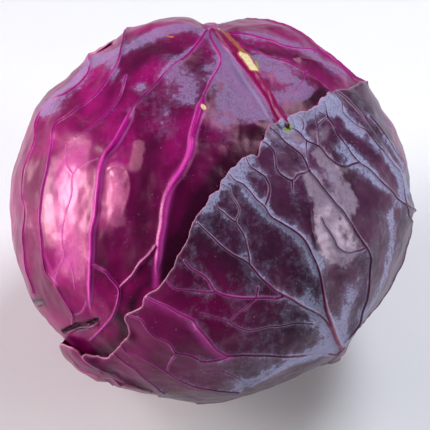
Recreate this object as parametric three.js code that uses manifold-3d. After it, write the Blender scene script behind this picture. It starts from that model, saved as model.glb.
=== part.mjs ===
// A head of red cabbage, standing on the cut face of its stem.
// Millimetres, +Z up through the crown of the head. The origin is the centre of the cut face.
//
// Every leaf is a thin curved sheet that follows the round of the head. Directions on the head are
// pairs in degrees: the turn about +Z from +X, and the fall from the crown.

import * as THREE from 'three';
import { mergeVertices } from 'three/addons/utils/BufferGeometryUtils.js';
import Module from 'manifold-3d';

// The head, measured on the broad leaf that shows most
const HEAD_RADIUS = 81.2;        // half its width
const HEAD_RISE = 69.3;          // half its height
const HEAD_CENTRE_HEIGHT = 71;   // above the cut face
const DIMPLE_DEPTH = 9;          // how far the underside draws in round the stem
const DIMPLE_SPREAD = 22;        // degrees from the stem at which the draw has mostly gone

// The leaves, laid over each other from the heart outwards
const LEAF_THICKNESS = 1.5;
const LEAF_PITCH = 2.3;          // from the outside of one leaf to the outside of the next
const HEART_MARGIN = 9;          // degrees by which the heart sinks past the edge of a leaf on it

// The cut stem
const STEM_FACE_RADIUS = 17;
const STEM_FACE_ROUNDING = 0.6;
const STEM_NECK_RADIUS = 17.6;
const STEM_NECK_HEIGHT = 4;
const STEM_SHOULDER_RADIUS = 20;
const STEM_SHOULDER_HEIGHT = 14;
const STEM_TOP_RADIUS = 15;
const STEM_TOP_HEIGHT = 23;
const STEM_CLEARANCE = 0.35;     // between the stem and what grows round it

const STEM_SIDES = 28;
const HEART_SEGMENTS = [40, 24];
const RIB_SAMPLES = 24;          // points along a midrib
const COVER_SAMPLES = 72;        // points round an outline, when asking what it covers
const WELD_DISTANCE = 1e-4;      // corners nearer than this are one

const RED_LEAF = { color: 0x6a1150, roughness: 0.42, metalness: 0 };
const DARK_LEAF = { color: 0x4a2f4c, roughness: 0.55, metalness: 0 };
const PALE_STEM = { color: 0xcdbfa6, roughness: 0.7, metalness: 0 };

const LEAVES = [
  {
    // The outermost leaf, what is left of it: it wraps the left of the back and its torn flap
    // stands off the head low at the front left
    name: 'outer_leaf',
    layer: 2,
    finish: RED_LEAF,
    grid: [8, 44],
    hub: [172, 112],
    outline: [
      [174, 163], [140, 152], [120, 132], [112, 108], [116, 84], [127, 63], [140, 74], [155, 85],
      [172, 94], [-172, 101], [-156, 109], [-141, 111], [-133, 116], [-121, 120], [-110, 122],
      [-106, 135], [-125, 152],
    ],
    flap: { at: [-141, 111], lift: 5, spread: 11 },
  },
  {
    // The dark leaf that wraps the front from the right, with its midrib rising from low right
    name: 'front_leaf',
    layer: 1,
    finish: DARK_LEAF,
    grid: [10, 48],
    hub: [-48, 80],
    outline: [
      [34, 71], [24, 52], [10, 39], [-14, 24], [-41, 23], [-80, 30], [-91, 38], [-98, 47],
      [-102, 57], [-111, 73], [-115, 84], [-123, 101], [-133, 112], [-121, 127], [-96, 142],
      [-66, 158], [-48, 164], [-28, 158], [0, 140], [18, 118], [30, 95],
    ],
    rib: { path: [[-48, 162], [-46, 140], [-43, 113], [-48, 92]], height: 3, halfWidth: 8 },
  },
  {
    // The broad red leaf that shows most, with its midrib coming up the back and over the crown
    name: 'crown_leaf',
    layer: 0,
    finish: RED_LEAF,
    grid: [14, 52],
    hub: [122, 58],
    outline: [
      [90, 163], [74, 150], [60, 130], [48, 108], [34, 92], [12, 80], [-12, 62], [-45, 58],
      [-80, 66], [-104, 88], [-118, 112], [-136, 126], [-160, 134], [168, 142], [138, 152],
      [112, 160],
    ],
    rib: { path: [[90, 160], [90, 130], [90, 90], [90, 50], [76, 30]], height: 2.5, halfWidth: 8 },
  },
  {
    // Shows low on the right of the back, between the margins of the front and the crown leaf
    name: 'right_leaf',
    layer: -1,
    finish: RED_LEAF,
    grid: [7, 34],
    hub: [14, 108],
    outline: [
      [5, 164], [38, 152], [58, 128], [62, 102], [48, 78], [18, 66], [-14, 74], [-30, 98],
      [-30, 126], [-14, 150],
    ],
  },
  {
    // Shows underneath, between the outer leaf and the front leaf
    name: 'under_leaf',
    layer: -1,
    finish: RED_LEAF,
    grid: [7, 34],
    hub: [-124, 115],
    outline: [
      [-132, 164], [-163, 146], [-168, 118], [-150, 94], [-122, 84], [-94, 92], [-78, 116],
      [-84, 140], [-104, 156],
    ],
  },
  {
    // Shows underneath at the back, inside the gap between the right leaf and the crown leaf
    name: 'back_leaf',
    layer: -2,
    finish: RED_LEAF,
    grid: [6, 30],
    hub: [57, 122],
    outline: [
      [57, 164], [84, 152], [96, 128], [86, 102], [57, 92], [30, 102], [22, 128], [34, 152],
    ],
  },
];

const wasm = await Module();
wasm.setup();

function direction([turn, fall]) {
  return new THREE.Vector3().setFromSphericalCoords(
    1, THREE.MathUtils.degToRad(fall), Math.PI / 2 + THREE.MathUtils.degToRad(turn),
  ).applyAxisAngle(new THREE.Vector3(1, 0, 0), Math.PI / 2);
}

// How far the head's surface is from its centre in a direction: an ellipsoid, drawn in underneath
function headRadius(dir) {
  const across = Math.hypot(dir.x, dir.y) / HEAD_RADIUS;
  const round = 1 / Math.hypot(across, dir.z / HEAD_RISE);
  const fromStem = THREE.MathUtils.radToDeg(Math.acos(THREE.MathUtils.clamp(-dir.z, -1, 1)));
  return round - DIMPLE_DEPTH * Math.exp(-((fromStem / DIMPLE_SPREAD) ** 2));
}

function onHead(dir, offset) {
  const point = dir.clone().multiplyScalar(headRadius(dir) + offset);
  point.z += HEAD_CENTRE_HEIGHT;
  return point;
}

function slerp(from, to, share) {
  const angle = from.angleTo(to);
  return from.clone().multiplyScalar(Math.sin((1 - share) * angle))
    .addScaledVector(to, Math.sin(share * angle))
    .normalize();
}

function geometryFrom(points, faces) {
  const geometry = new THREE.BufferGeometry();
  const numbers = points.flatMap((p) => [p.x, p.y, p.z]);
  geometry.setAttribute('position', new THREE.Float32BufferAttribute(numbers, 3));
  geometry.setIndex(faces);
  return geometry;
}

function toSolid(geometry) {
  const bare = geometry.clone();
  bare.deleteAttribute('normal');
  bare.deleteAttribute('uv');
  const merged = mergeVertices(bare, WELD_DISTANCE);
  return new wasm.Manifold(new wasm.Mesh({
    numProp: 3,
    vertProperties: new Float32Array(merged.attributes.position.array),
    triVerts: new Uint32Array(merged.index.array),
  }));
}

function fromSolid(solid) {
  const mesh = solid.getMesh();
  const geometry = new THREE.BufferGeometry();
  geometry.setAttribute('position', new THREE.BufferAttribute(new Float32Array(mesh.vertProperties), 3));
  geometry.setIndex(new THREE.BufferAttribute(new Uint32Array(mesh.triVerts), 1));
  return geometry;
}

function leafMargin(leaf, samples) {
  const curve = new THREE.CatmullRomCurve3(leaf.outline.map(direction), true, 'centripetal');
  return curve.getSpacedPoints(samples).slice(0, samples).map((p) => p.normalize());
}

// How far a leaf's midrib stands proud of its outside
function relief(leaf, dir) {
  let proud = 0;
  if (leaf.rib) {
    const path = new THREE.CatmullRomCurve3(leaf.rib.path.map(direction)).getPoints(RIB_SAMPLES);
    const away = path.map((p) => p.normalize().angleTo(dir) * HEAD_RADIUS);
    const nearest = away.indexOf(Math.min(...away));
    const left = 1 - nearest / (path.length - 1);
    proud += leaf.rib.height * left * Math.exp(-((away[nearest] / leaf.rib.halfWidth) ** 2));
  }
  return proud;
}

// How far a leaf's flap lifts off the head
function flapLift(leaf, dir) {
  if (!leaf.flap) return 0;
  const away = THREE.MathUtils.radToDeg(direction(leaf.flap.at).angleTo(dir));
  return leaf.flap.lift * Math.exp(-((away / leaf.flap.spread) ** 2));
}

function leafGeometry(leaf) {
  const [rings, sectors] = leaf.grid;
  const hub = direction(leaf.hub);
  const margin = leafMargin(leaf, sectors);
  const outside = leaf.layer * LEAF_PITCH;
  const points = [];
  const place = (dir) => {
    const lift = outside + flapLift(leaf, dir);
    points.push(onHead(dir, lift + relief(leaf, dir)), onHead(dir, lift - LEAF_THICKNESS));
  };
  place(hub);
  for (let ring = 1; ring <= rings; ring += 1) {
    for (const edge of margin) place(slerp(hub, edge, ring / rings));
  }
  const at = (ring, sector, side) => {
    if (ring === 0) return side;
    return 2 * (1 + (ring - 1) * sectors + (sector % sectors)) + side;
  };
  // The outline may run either way round its hub
  const turn = new THREE.Vector3().crossVectors(margin[0], margin[1]).dot(hub);
  const faces = [];
  const add = (a, b, c) => faces.push(...(turn > 0 ? [a, b, c] : [a, c, b]));
  for (let sector = 0; sector < sectors; sector += 1) {
    const next = sector + 1;
    add(at(0, 0, 0), at(1, sector, 0), at(1, next, 0));
    add(at(0, 0, 1), at(1, next, 1), at(1, sector, 1));
    for (let ring = 1; ring < rings; ring += 1) {
      add(at(ring, sector, 0), at(ring + 1, sector, 0), at(ring + 1, next, 0));
      add(at(ring, sector, 0), at(ring + 1, next, 0), at(ring, next, 0));
      add(at(ring, sector, 1), at(ring + 1, next, 1), at(ring + 1, sector, 1));
      add(at(ring, sector, 1), at(ring, next, 1), at(ring + 1, next, 1));
    }
    add(at(rings, sector, 0), at(rings, sector, 1), at(rings, next, 1));
    add(at(rings, sector, 0), at(rings, next, 1), at(rings, next, 0));
  }
  return geometryFrom(points, faces);
}

function stemGeometry(clearance) {
  const profile = [
    [0, -clearance],
    [STEM_FACE_RADIUS - STEM_FACE_ROUNDING + clearance, -clearance],
    [STEM_FACE_RADIUS + clearance, STEM_FACE_ROUNDING],
    [STEM_NECK_RADIUS + clearance, STEM_NECK_HEIGHT],
    [STEM_SHOULDER_RADIUS + clearance, STEM_SHOULDER_HEIGHT],
    [STEM_TOP_RADIUS + clearance, STEM_TOP_HEIGHT + clearance],
    [0, STEM_TOP_HEIGHT + clearance],
  ].map(([x, y]) => new THREE.Vector2(x, y));
  return new THREE.LatheGeometry(profile, STEM_SIDES).rotateX(Math.PI / 2);
}

// How deep the heart lies below the layer of the crown leaf, so that the leaves under it fit
function heartDepth(dir) {
  const covering = LEAVES.filter((leaf) => leaf.layer < 0 && covers(leaf, dir));
  return 1 + Math.max(0, ...covering.map((leaf) => -leaf.layer));
}

// True if a leaf's outline, widened by the heart's margin, takes in a direction
function covers(leaf, dir) {
  const hub = direction(leaf.hub);
  const bearing = (v) => v.clone().addScaledVector(hub, -v.dot(hub)).normalize();
  const wanted = bearing(dir);
  const nearest = leafMargin(leaf, COVER_SAMPLES).reduce(
    (best, edge) => (bearing(edge).dot(wanted) > bearing(best).dot(wanted) ? edge : best),
  );
  return hub.angleTo(dir) < hub.angleTo(nearest) + THREE.MathUtils.degToRad(HEART_MARGIN);
}

function heartGeometry() {
  const geometry = new THREE.SphereGeometry(1, ...HEART_SEGMENTS).rotateX(Math.PI / 2);
  const position = geometry.attributes.position;
  for (let i = 0; i < position.count; i += 1) {
    const dir = new THREE.Vector3().fromBufferAttribute(position, i).normalize();
    const point = onHead(dir, -heartDepth(dir) * LEAF_PITCH);
    position.setXYZ(i, point.x, point.y, point.z);
  }
  return geometry;
}

const head = new THREE.Group();

function addPiece(name, geometry, finish) {
  const mesh = new THREE.Mesh(geometry, new THREE.MeshStandardMaterial(finish));
  mesh.name = name;
  head.add(mesh);
}

const stemSpace = toSolid(stemGeometry(STEM_CLEARANCE));
const roundStem = (geometry) => fromSolid(toSolid(geometry).subtract(stemSpace));

addPiece('stem', stemGeometry(0), PALE_STEM);
addPiece('heart', roundStem(heartGeometry()), RED_LEAF);
for (const leaf of LEAVES) addPiece(leaf.name, roundStem(leafGeometry(leaf)), leaf.finish);

export default head;
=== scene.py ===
"""A head of red cabbage: its stem, heart and leaves, and a plain studio to see it in."""

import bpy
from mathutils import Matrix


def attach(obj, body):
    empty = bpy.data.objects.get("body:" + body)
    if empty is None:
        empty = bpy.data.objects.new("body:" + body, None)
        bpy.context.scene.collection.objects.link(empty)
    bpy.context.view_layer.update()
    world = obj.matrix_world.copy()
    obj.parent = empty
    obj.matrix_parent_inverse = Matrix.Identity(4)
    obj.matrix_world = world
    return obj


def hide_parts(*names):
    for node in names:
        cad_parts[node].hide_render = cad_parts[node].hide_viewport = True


bl_info = {
    "name": "Red cabbage head",
    "version": (1, 0, 0),
    "blender": (4, 5, 0),
    "location": "3D View > Sidebar > Cabbage",
    "description": "Builds a head of red cabbage leaf by leaf round its packed solids",
    "category": "Add Mesh",
}

import math

import bpy
import numpy as np
from mathutils import Matrix, Vector

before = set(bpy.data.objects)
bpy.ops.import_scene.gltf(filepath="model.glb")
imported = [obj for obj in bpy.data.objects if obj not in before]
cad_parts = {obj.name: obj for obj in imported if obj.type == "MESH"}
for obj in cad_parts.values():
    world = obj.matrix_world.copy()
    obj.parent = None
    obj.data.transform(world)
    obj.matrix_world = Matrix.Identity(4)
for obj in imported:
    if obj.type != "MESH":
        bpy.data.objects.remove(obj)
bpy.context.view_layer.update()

MM = 0.001
TINY = 1e-9

# Sizes, in millimetres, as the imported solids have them
HEAD_RADIUS = 81.2
HEAD_RISE = 69.3
HEAD_CENTRE_HEIGHT = 71.0
DIMPLE_DEPTH = 9.0
DIMPLE_SPREAD = 22.0  # degrees
STEM_RADIUS = 17.0
STEM_HEIGHT = 23.0

# The view that outlines and veins are drawn in: a square drawing, looking down on the head
DRAWING_SIZE = 430
DRAWING_HEAD_X = 209.0
DRAWING_HEAD_Y = 209.0
DRAWING_MM = 0.409  # across one point of the drawing, at the middle of the head
VIEW_ELEVATION = math.radians(50.0)
CAMERA_DISTANCE = 750.0
SIGHT_STEPS = 4  # times that a sight line is followed on to the uneven head
STANDING_STEPS = 2 * SIGHT_STEPS

RIGHT = np.array([1.0, 0.0, 0.0])
UP = np.array([0.0, math.sin(VIEW_ELEVATION), math.cos(VIEW_ELEVATION)])
BACK = np.array([0.0, -math.cos(VIEW_ELEVATION), math.sin(VIEW_ELEVATION)])
HEAD_CENTRE = np.array([0.0, 0.0, HEAD_CENTRE_HEIGHT])
MIDDLE = DRAWING_SIZE / 2
CAMERA_PLACE = (
    HEAD_CENTRE
    + BACK * CAMERA_DISTANCE
    + RIGHT * (MIDDLE - DRAWING_HEAD_X) * DRAWING_MM
    + UP * (DRAWING_HEAD_Y - MIDDLE) * DRAWING_MM
)

# How far each leaf's outside lies above the crown leaf's, in millimetres
LIFT = {
    "outer_leaf": 2.6,
    "front_leaf": 1.5,
    "crown_leaf": 0.0,
    "right_leaf": -1.8,
    "under_leaf": -1.8,
    "back_leaf": -3.4,
    "heart": -4.6,
}
LEAF_GAP = 0.12  # between a leaf and the one that it lies on
LEAF_THICKNESS = 0.9
MARGIN_THICKNESS = 0.38

# Directions on the head and places in the drawing


def unit(v):
    """Vectors of length 1."""
    return v / np.linalg.norm(v, axis=-1, keepdims=True)


def columns(*values):
    """A table with these values as its columns."""
    return np.stack(values, axis=1)


def ramp(low, high, x):
    """Rises smoothly from 0 at low to 1 at high."""
    t = np.clip((x - low) / (high - low), 0.0, 1.0)
    return t * t * (3.0 - 2.0 * t)


def turned(pairs):
    """Directions from (turn about +Z from +X, fall from the crown) pairs in degrees."""
    turn, fall = np.radians(np.atleast_2d(np.asarray(pairs, float))).T
    return columns(np.sin(fall) * np.cos(turn), np.sin(fall) * np.sin(turn), np.cos(fall))


def seen(points, lift=0.0):
    """Directions in which sight lines through the drawing meet the head."""
    points = np.atleast_2d(np.asarray(points, float))
    sight = (
        -BACK * CAMERA_DISTANCE
        + np.outer(points[:, 0] - MIDDLE, RIGHT) * DRAWING_MM
        + np.outer(MIDDLE - points[:, 1], UP) * DRAWING_MM
    )
    start = CAMERA_PLACE - HEAD_CENTRE
    extra = np.zeros(len(points)) + lift
    for _ in range(SIGHT_STEPS):
        radii = np.array([HEAD_RADIUS, HEAD_RADIUS, HEAD_RISE]) + extra[:, None]
        p, d = start / radii, sight / radii
        a = (d * d).sum(1)
        b = (d * p).sum(1)
        c = (p * p).sum(1) - 1.0
        inside = np.maximum(b * b - a * c, 0.0)
        reach = (-b - np.sqrt(inside)) / a
        dirs = unit(start + sight * reach[:, None])
        extra = head_radius(dirs) - plain_radius(dirs) + lift
    return dirs


def project(points):
    """Where places in millimetres fall in the drawing."""
    ray = points - CAMERA_PLACE
    depth = -(ray @ BACK)
    scale = CAMERA_DISTANCE / depth / DRAWING_MM
    return columns(MIDDLE + (ray @ RIGHT) * scale, MIDDLE - (ray @ UP) * scale)


WAVE_POWER = 0.7  # how much stronger long waves are than short ones
NEIGHBOURS_APART = 1e-6  # the least that counts between a curve's points


def waves(seed, count, low, high):
    """A smooth random field of waves from low to high millimetres long."""
    draw = np.random.default_rng(seed)
    way = unit(draw.normal(size=(count, 3)))
    length = low * (high / low) ** draw.random(count)
    phase = draw.random(count) * math.tau
    strength = (length / high) ** WAVE_POWER
    strength /= math.sqrt((strength**2).sum() / 2)

    def field(places):
        total = np.zeros(len(places))
        for w, l, p, s in zip(way, length, phase, strength):
            total += s * np.sin((places @ w) * (math.tau / l) + p)
        return total

    return field


def spline(points, step, closed=False):
    """Points every step along a smooth curve."""
    points = np.asarray(points, float)
    if closed:
        ext = np.vstack([points[-1], points, points[0], points[1]])
    else:
        ext = np.vstack([2 * points[0] - points[1], points, 2 * points[-1] - points[-2]])
    pieces = []
    for i in range(1, len(ext) - 2):
        p0, p1, p2, p3 = ext[i - 1 : i + 3]
        d0, d1, d2 = (
            max(np.linalg.norm(b - a), NEIGHBOURS_APART) ** 0.5
            for a, b in ((p0, p1), (p1, p2), (p2, p3))
        )
        m1 = d1 * ((p1 - p0) / d0 - (p2 - p0) / (d0 + d1)) + (p2 - p1)
        m2 = (p2 - p1) + d1 * ((p3 - p2) / d2 - (p3 - p1) / (d1 + d2))
        n = max(1, int(math.ceil(np.linalg.norm(p2 - p1) / step)))
        t = (np.arange(n) / n)[:, None]
        pieces.append(
            (2 * t**3 - 3 * t**2 + 1) * p1
            + (t**3 - 2 * t**2 + t) * m1
            + (-2 * t**3 + 3 * t**2) * p2
            + (t**3 - t**2) * m2
        )
    if not closed:
        pieces.append(ext[-2][None])
    return np.vstack(pieces)


# The head's own shape

# Its outline in the drawing, from the top, clockwise
HEAD_OUTLINE = [
    (178, 15.6), (208, 21), (220, 22), (247, 21), (274, 23), (302, 36), (336, 61), (356, 80), (369, 86),
    (389, 110), (403, 137), (411, 165), (413.5, 182), (412, 205), (409, 228), (398, 263), (389, 285),
    (367, 313), (356, 333), (340, 349), (318, 365), (302, 372), (274, 384), (247, 394), (217, 401),
    (192, 402.5), (166, 399), (142, 395), (116, 387.5), (99, 373), (81.5, 353), (66, 340), (46, 319),
    (33, 302), (23, 277), (14, 252), (10.4, 214), (10.4, 192), (14, 167), (20.6, 148), (30, 123),
    (36, 107), (46, 94), (66, 79.5), (82, 66), (92, 57.5), (104, 49.5), (113, 43), (123, 35.5), (140, 26),
    (159, 18),
]
OUTLINE_LIMB = math.radians(83.0)  # from the view's axis
OUTLINE_SPREAD = math.radians(24.0)
OUTLINE_STEP = 3.0  # degrees between two places where it is fitted
LIMB_TILTS = (60.0, 100.0)  # degrees from the view's axis between which it lies
HEAD_LUMPS = (14, 45.0, 110.0)
HEAD_LUMP_SEED = 3
HEAD_LUMP_HEIGHT = 0.35
# Where other leaves make the outline: from one bearing to another, and how far they stand out
OUTLINE_LEAVES = [(37.0, -106.0, "front_leaf"), (-106.0, -122.0, "outer_leaf")]


def plain_radius(dirs):
    """The size of a flattened ball with a dimple at the stem."""
    across = np.hypot(dirs[:, 0], dirs[:, 1]) / HEAD_RADIUS
    round_ = 1.0 / np.hypot(across, dirs[:, 2] / HEAD_RISE)
    from_stem = np.degrees(np.arccos(np.clip(-dirs[:, 2], -1, 1)))
    return round_ - DIMPLE_DEPTH * np.exp(-((from_stem / DIMPLE_SPREAD) ** 2))


def drawn_reach(bearings):
    """How far out the drawn outline is at each bearing."""
    drawn = np.asarray(HEAD_OUTLINE) - (DRAWING_HEAD_X, DRAWING_HEAD_Y)
    drawn_bearing = np.unwrap(np.arctan2(-drawn[:, 1], drawn[:, 0]))[::-1]
    reach = np.hypot(*drawn.T)[::-1]
    order = np.argsort(drawn_bearing % math.tau)
    return np.interp(bearings, (drawn_bearing % math.tau)[order], reach[order], period=math.tau)


def outline_lift(degrees):
    """How far the leaf that makes the outline at a bearing stands out."""
    lift = 0.0
    for start, end, leaf in OUTLINE_LEAVES:
        if (start - degrees) % 360 < (start - end) % 360:
            lift = LIFT[leaf]
    return lift


def outline_swell():
    """What to add round the limb at each bearing for the outline to be the drawn one."""
    bearings = np.radians(np.arange(0, 360, OUTLINE_STEP))
    tilts = np.radians(np.arange(*LIMB_TILTS, 1.0))
    reach = drawn_reach(bearings)
    swell = np.empty(len(bearings))
    for i, bearing in enumerate(bearings):
        out = math.cos(bearing) * RIGHT + math.sin(bearing) * UP
        dirs = np.outer(np.cos(tilts), BACK) + np.outer(np.sin(tilts), out)
        lift = outline_lift(math.degrees(bearing))
        places = HEAD_CENTRE + dirs * (plain_radius(dirs) + lift)[:, None]
        shown = project(places) - (DRAWING_HEAD_X, DRAWING_HEAD_Y)
        swell[i] = (reach[i] - np.hypot(*shown.T).max()) * DRAWING_MM
    return bearings, swell


SWELL_BEARINGS, SWELL = outline_swell()
head_lumps = waves(HEAD_LUMP_SEED, *HEAD_LUMPS)


def head_radius(dirs):
    """How far the crown leaf's plain outside is from the head's centre."""
    bearing = np.arctan2(dirs @ UP, dirs @ RIGHT) % math.tau
    tilt = np.arccos(np.clip(dirs @ BACK, -1, 1))
    share = np.exp(-(((tilt - OUTLINE_LIMB) / OUTLINE_SPREAD) ** 2))
    swell = np.interp(bearing, SWELL_BEARINGS, SWELL, period=math.tau)
    lumps = HEAD_LUMP_HEIGHT * head_lumps(dirs * HEAD_RADIUS)
    return plain_radius(dirs) + swell * share + lumps * (1 - share)


# Sheets: a leaf's outline round a hub, and a mesh of triangles that gets finer where asked

MARGIN_STEP = 0.6  # millimetres from one point of a margin to the next
LEAST_TURN = 1e-5  # between one point of a margin and the next
NICK_DEPTH = 0.25
NICK_INSET = 0.4  # how far nicks lie inside the margin, as a share of their depth
NICK_WAVES = (18, 1.2, 9.0)
CALM_POINTS = 720
CALM_SPREAD = 13.0  # millimetres of the margin smoothed into one point of it
CALM_POWER = 6.0
DEPTH_STEP = 1.0  # millimetres from one place of the grid of depths to the next
DEPTH_SPAN = 165.0
DEPTH_EDGE_STEPS = 3  # points of the margin in each step of the grid
DEPTH_COARSE = 6  # every how many points measure places far from the margin
DEPTH_NEAR = 6.0
SHEET_START = 20  # squares along a side of the coarsest mesh
HALVING_COST = 2.6  # triangles that halving one adds


def steps_along(bearing, reach):
    """How far apart neighbouring points of a margin are."""
    return np.hypot(np.diff(reach), reach[1:] * np.diff(bearing))


def rising(chart):
    """Bearings and distances of a line's points, but for those that turn back."""
    bearing = np.unwrap(np.arctan2(chart[:, 1], chart[:, 0]))
    if bearing[-1] < bearing[0]:
        chart = chart[::-1]
        bearing = np.unwrap(np.arctan2(chart[:, 1], chart[:, 0]))
    furthest = np.maximum.accumulate(bearing)
    kept = np.concatenate([[True], np.diff(furthest) > LEAST_TURN])
    return furthest[kept], np.hypot(*chart.T)[kept]


def nicked(bearing, reach, seed):
    """A margin's distances from the hub with small nicks in them."""
    length = np.concatenate([[0], np.cumsum(steps_along(bearing, reach))])
    line = columns(length, 0 * length, 0 * length)
    return reach + NICK_DEPTH * (waves(seed, *NICK_WAVES)(line) - NICK_INSET)


class Outline:
    """A closed outline round a hub on the head, charted with true distances and bearings from
    the hub, in millimetres."""

    def __init__(self, hub, margin, seed):
        self.hub = turned([hub])[0]
        self.east = unit(np.array([-self.hub[1], self.hub[0], 0.0]))
        self.north = np.cross(self.hub, self.east)
        bearing, reach = rising(spline(self.chart(margin), MARGIN_STEP, closed=True))
        reach = nicked(bearing, reach, seed)
        once = bearing >= bearing[-1] - math.tau
        bearing, reach = bearing[once] % math.tau, reach[once]
        order = np.argsort(bearing)
        self.bearing, self.reach = bearing[order], reach[order]
        self.round = np.append(self.bearing, self.bearing[0] + math.tau)
        steps = steps_along(self.round, np.append(self.reach, self.reach[0]))
        self.share = np.concatenate([[0], np.cumsum(steps)]) / steps.sum()
        self.calm_down(steps.sum())
        self.measure(steps.sum())

    def edge(self, share):
        """The margin's places on the chart, by their share of the way round."""
        bearing = np.interp(share, self.share, self.round)
        reach = np.interp(bearing % math.tau, self.bearing, self.reach, period=math.tau)
        return columns(reach * np.cos(bearing), reach * np.sin(bearing))

    def calm_down(self, length):
        """Smooths the margin into the calm line that the mesh inside it follows."""
        self.calm_share = np.arange(CALM_POINTS) / CALM_POINTS
        spread = CALM_SPREAD / length
        away = np.minimum(self.calm_share, 1 - self.calm_share)
        weight = np.exp(-((away / spread) ** 2))
        blur = np.fft.rfft(weight / weight.sum())[:, None]
        turns = np.fft.rfft(self.edge(self.calm_share), axis=0)
        self.calm = np.fft.irfft(turns * blur, CALM_POINTS, axis=0)

    def measure(self, length):
        """Makes a grid of how far inside the margin each place of the chart is."""
        ticks = np.arange(-DEPTH_SPAN, DEPTH_SPAN + DEPTH_STEP, DEPTH_STEP)
        grid = np.stack(np.meshgrid(ticks, ticks, indexing="ij"), axis=-1).reshape(-1, 2)
        edge = self.edge(np.arange(0, 1, DEPTH_STEP / DEPTH_EDGE_STEPS / length))
        away = nearest(grid, edge[::DEPTH_COARSE])
        close = away < DEPTH_NEAR
        away[close] = nearest(grid[close], edge)
        bearing = np.arctan2(grid[:, 1], grid[:, 0]) % math.tau
        reach = np.interp(bearing, self.bearing, self.reach, period=math.tau)
        inside = np.hypot(*grid.T) < reach
        self.depths = np.where(inside, away, -away).reshape(len(ticks), len(ticks))

    def chart(self, dirs):
        """Places on the chart of directions from the head's centre."""
        angle = np.arccos(np.clip(dirs @ self.hub, -1, 1))
        east, north = dirs @ self.east, dirs @ self.north
        size = np.maximum(np.hypot(east, north), TINY)
        reach = angle * HEAD_RADIUS
        return columns(east / size * reach, north / size * reach)

    def dirs(self, chart):
        """Directions from the head's centre of places on the chart."""
        reach = np.hypot(*chart.T)
        angle = reach / HEAD_RADIUS
        across = np.sin(angle) / np.maximum(reach, TINY)
        return (
            np.outer(np.cos(angle), self.hub)
            + np.outer(across * chart[:, 0], self.east)
            + np.outer(across * chart[:, 1], self.north)
        )

    def depth(self, dirs):
        """How far inside the margin each direction is on the chart, in millimetres."""
        last = len(self.depths) - 1.001
        at = np.clip((self.chart(dirs) + DEPTH_SPAN) / DEPTH_STEP, 0, last)
        low = at.astype(int)
        x, y = (at - low).T
        i, j = low.T
        d = self.depths
        near = d[i, j] * (1 - x) + d[i + 1, j] * x
        far = d[i, j + 1] * (1 - x) + d[i + 1, j + 1] * x
        return near * (1 - y) + far * y

    def place(self, square):
        """Chart places from square ones, where the square's edge is the margin, and the share of
        the way round of each."""
        a, b = square.T
        wide = np.abs(a) > np.abs(b)
        big = np.where(wide, a, b)
        small = np.where(wide, b, a)
        ratio = small / np.where(big == 0, 1, big) * (math.pi / 4)
        turn = np.where(wide, ratio, math.pi / 2 - ratio) + np.where(big < 0, math.pi, 0)
        share = (turn % math.tau) / math.tau
        calm = columns(*(np.interp(share, self.calm_share, axis, period=1.0) for axis in self.calm.T))
        out = np.abs(big)[:, None]
        return out * (calm + (self.edge(share) - calm) * out**CALM_POWER), share


def nearest(places, points):
    """How far each place is from the nearest of the points."""
    best = np.full(len(places), np.inf)
    x, y = places.T
    for px, py in points:
        best = np.minimum(best, (x - px) ** 2 + (y - py) ** 2)
    return np.sqrt(best)


def edges_of(faces):
    """The three edges of every triangle, each opposite one of its corners."""
    return np.concatenate([faces[:, [1, 2]], faces[:, [2, 0]], faces[:, [0, 1]]])


def halve(square, faces, chosen):
    """Halves the chosen triangles, and whatever else has to match."""
    edges = np.sort(edges_of(faces), axis=1)
    keys, index = np.unique(edges[:, 0] * len(square) + edges[:, 1], return_inverse=True)
    index = index.reshape(3, -1).T
    cut = np.zeros(len(keys), bool)
    cut[index[chosen, 0]] = True
    while True:
        loose = cut[index].any(1) & ~cut[index[:, 0]]
        if not loose.any():
            break
        cut[index[loose, 0]] = True
    middle = np.full(len(keys), -1)
    middle[cut] = len(square) + np.arange(cut.sum())
    ends = np.stack([keys[cut] // len(square), keys[cut] % len(square)], axis=1)
    square = np.vstack([square, square[ends].mean(1)])

    def split(parts, base):
        hit = middle[base] >= 0
        m = middle[base[hit]]
        p0, p1, p2 = parts[hit].T
        halves = [columns(m, p0, p1), columns(m, p2, p0)]
        return parts[~hit], np.vstack(halves), hit

    whole, children, hit = split(faces, index[:, 0])
    next_base = np.concatenate([index[hit, 2], index[hit, 1]])
    single, grandchildren, _ = split(children, next_base)
    return square, np.vstack([whole, single, grandchildren])


def margin_loop(square, faces):
    """The vertices along the sheet's edge, in order."""
    edges = edges_of(faces)
    keys = np.sort(edges, axis=1) @ [len(square), 1]
    _, first, count = np.unique(keys, return_index=True, return_counts=True)
    follow = dict(edges[first[count == 1]].tolist())
    start = at = next(iter(follow))
    loop = [start]
    while follow[at] != start:
        at = follow[at]
        loop.append(at)
    return np.array(loop)


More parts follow.
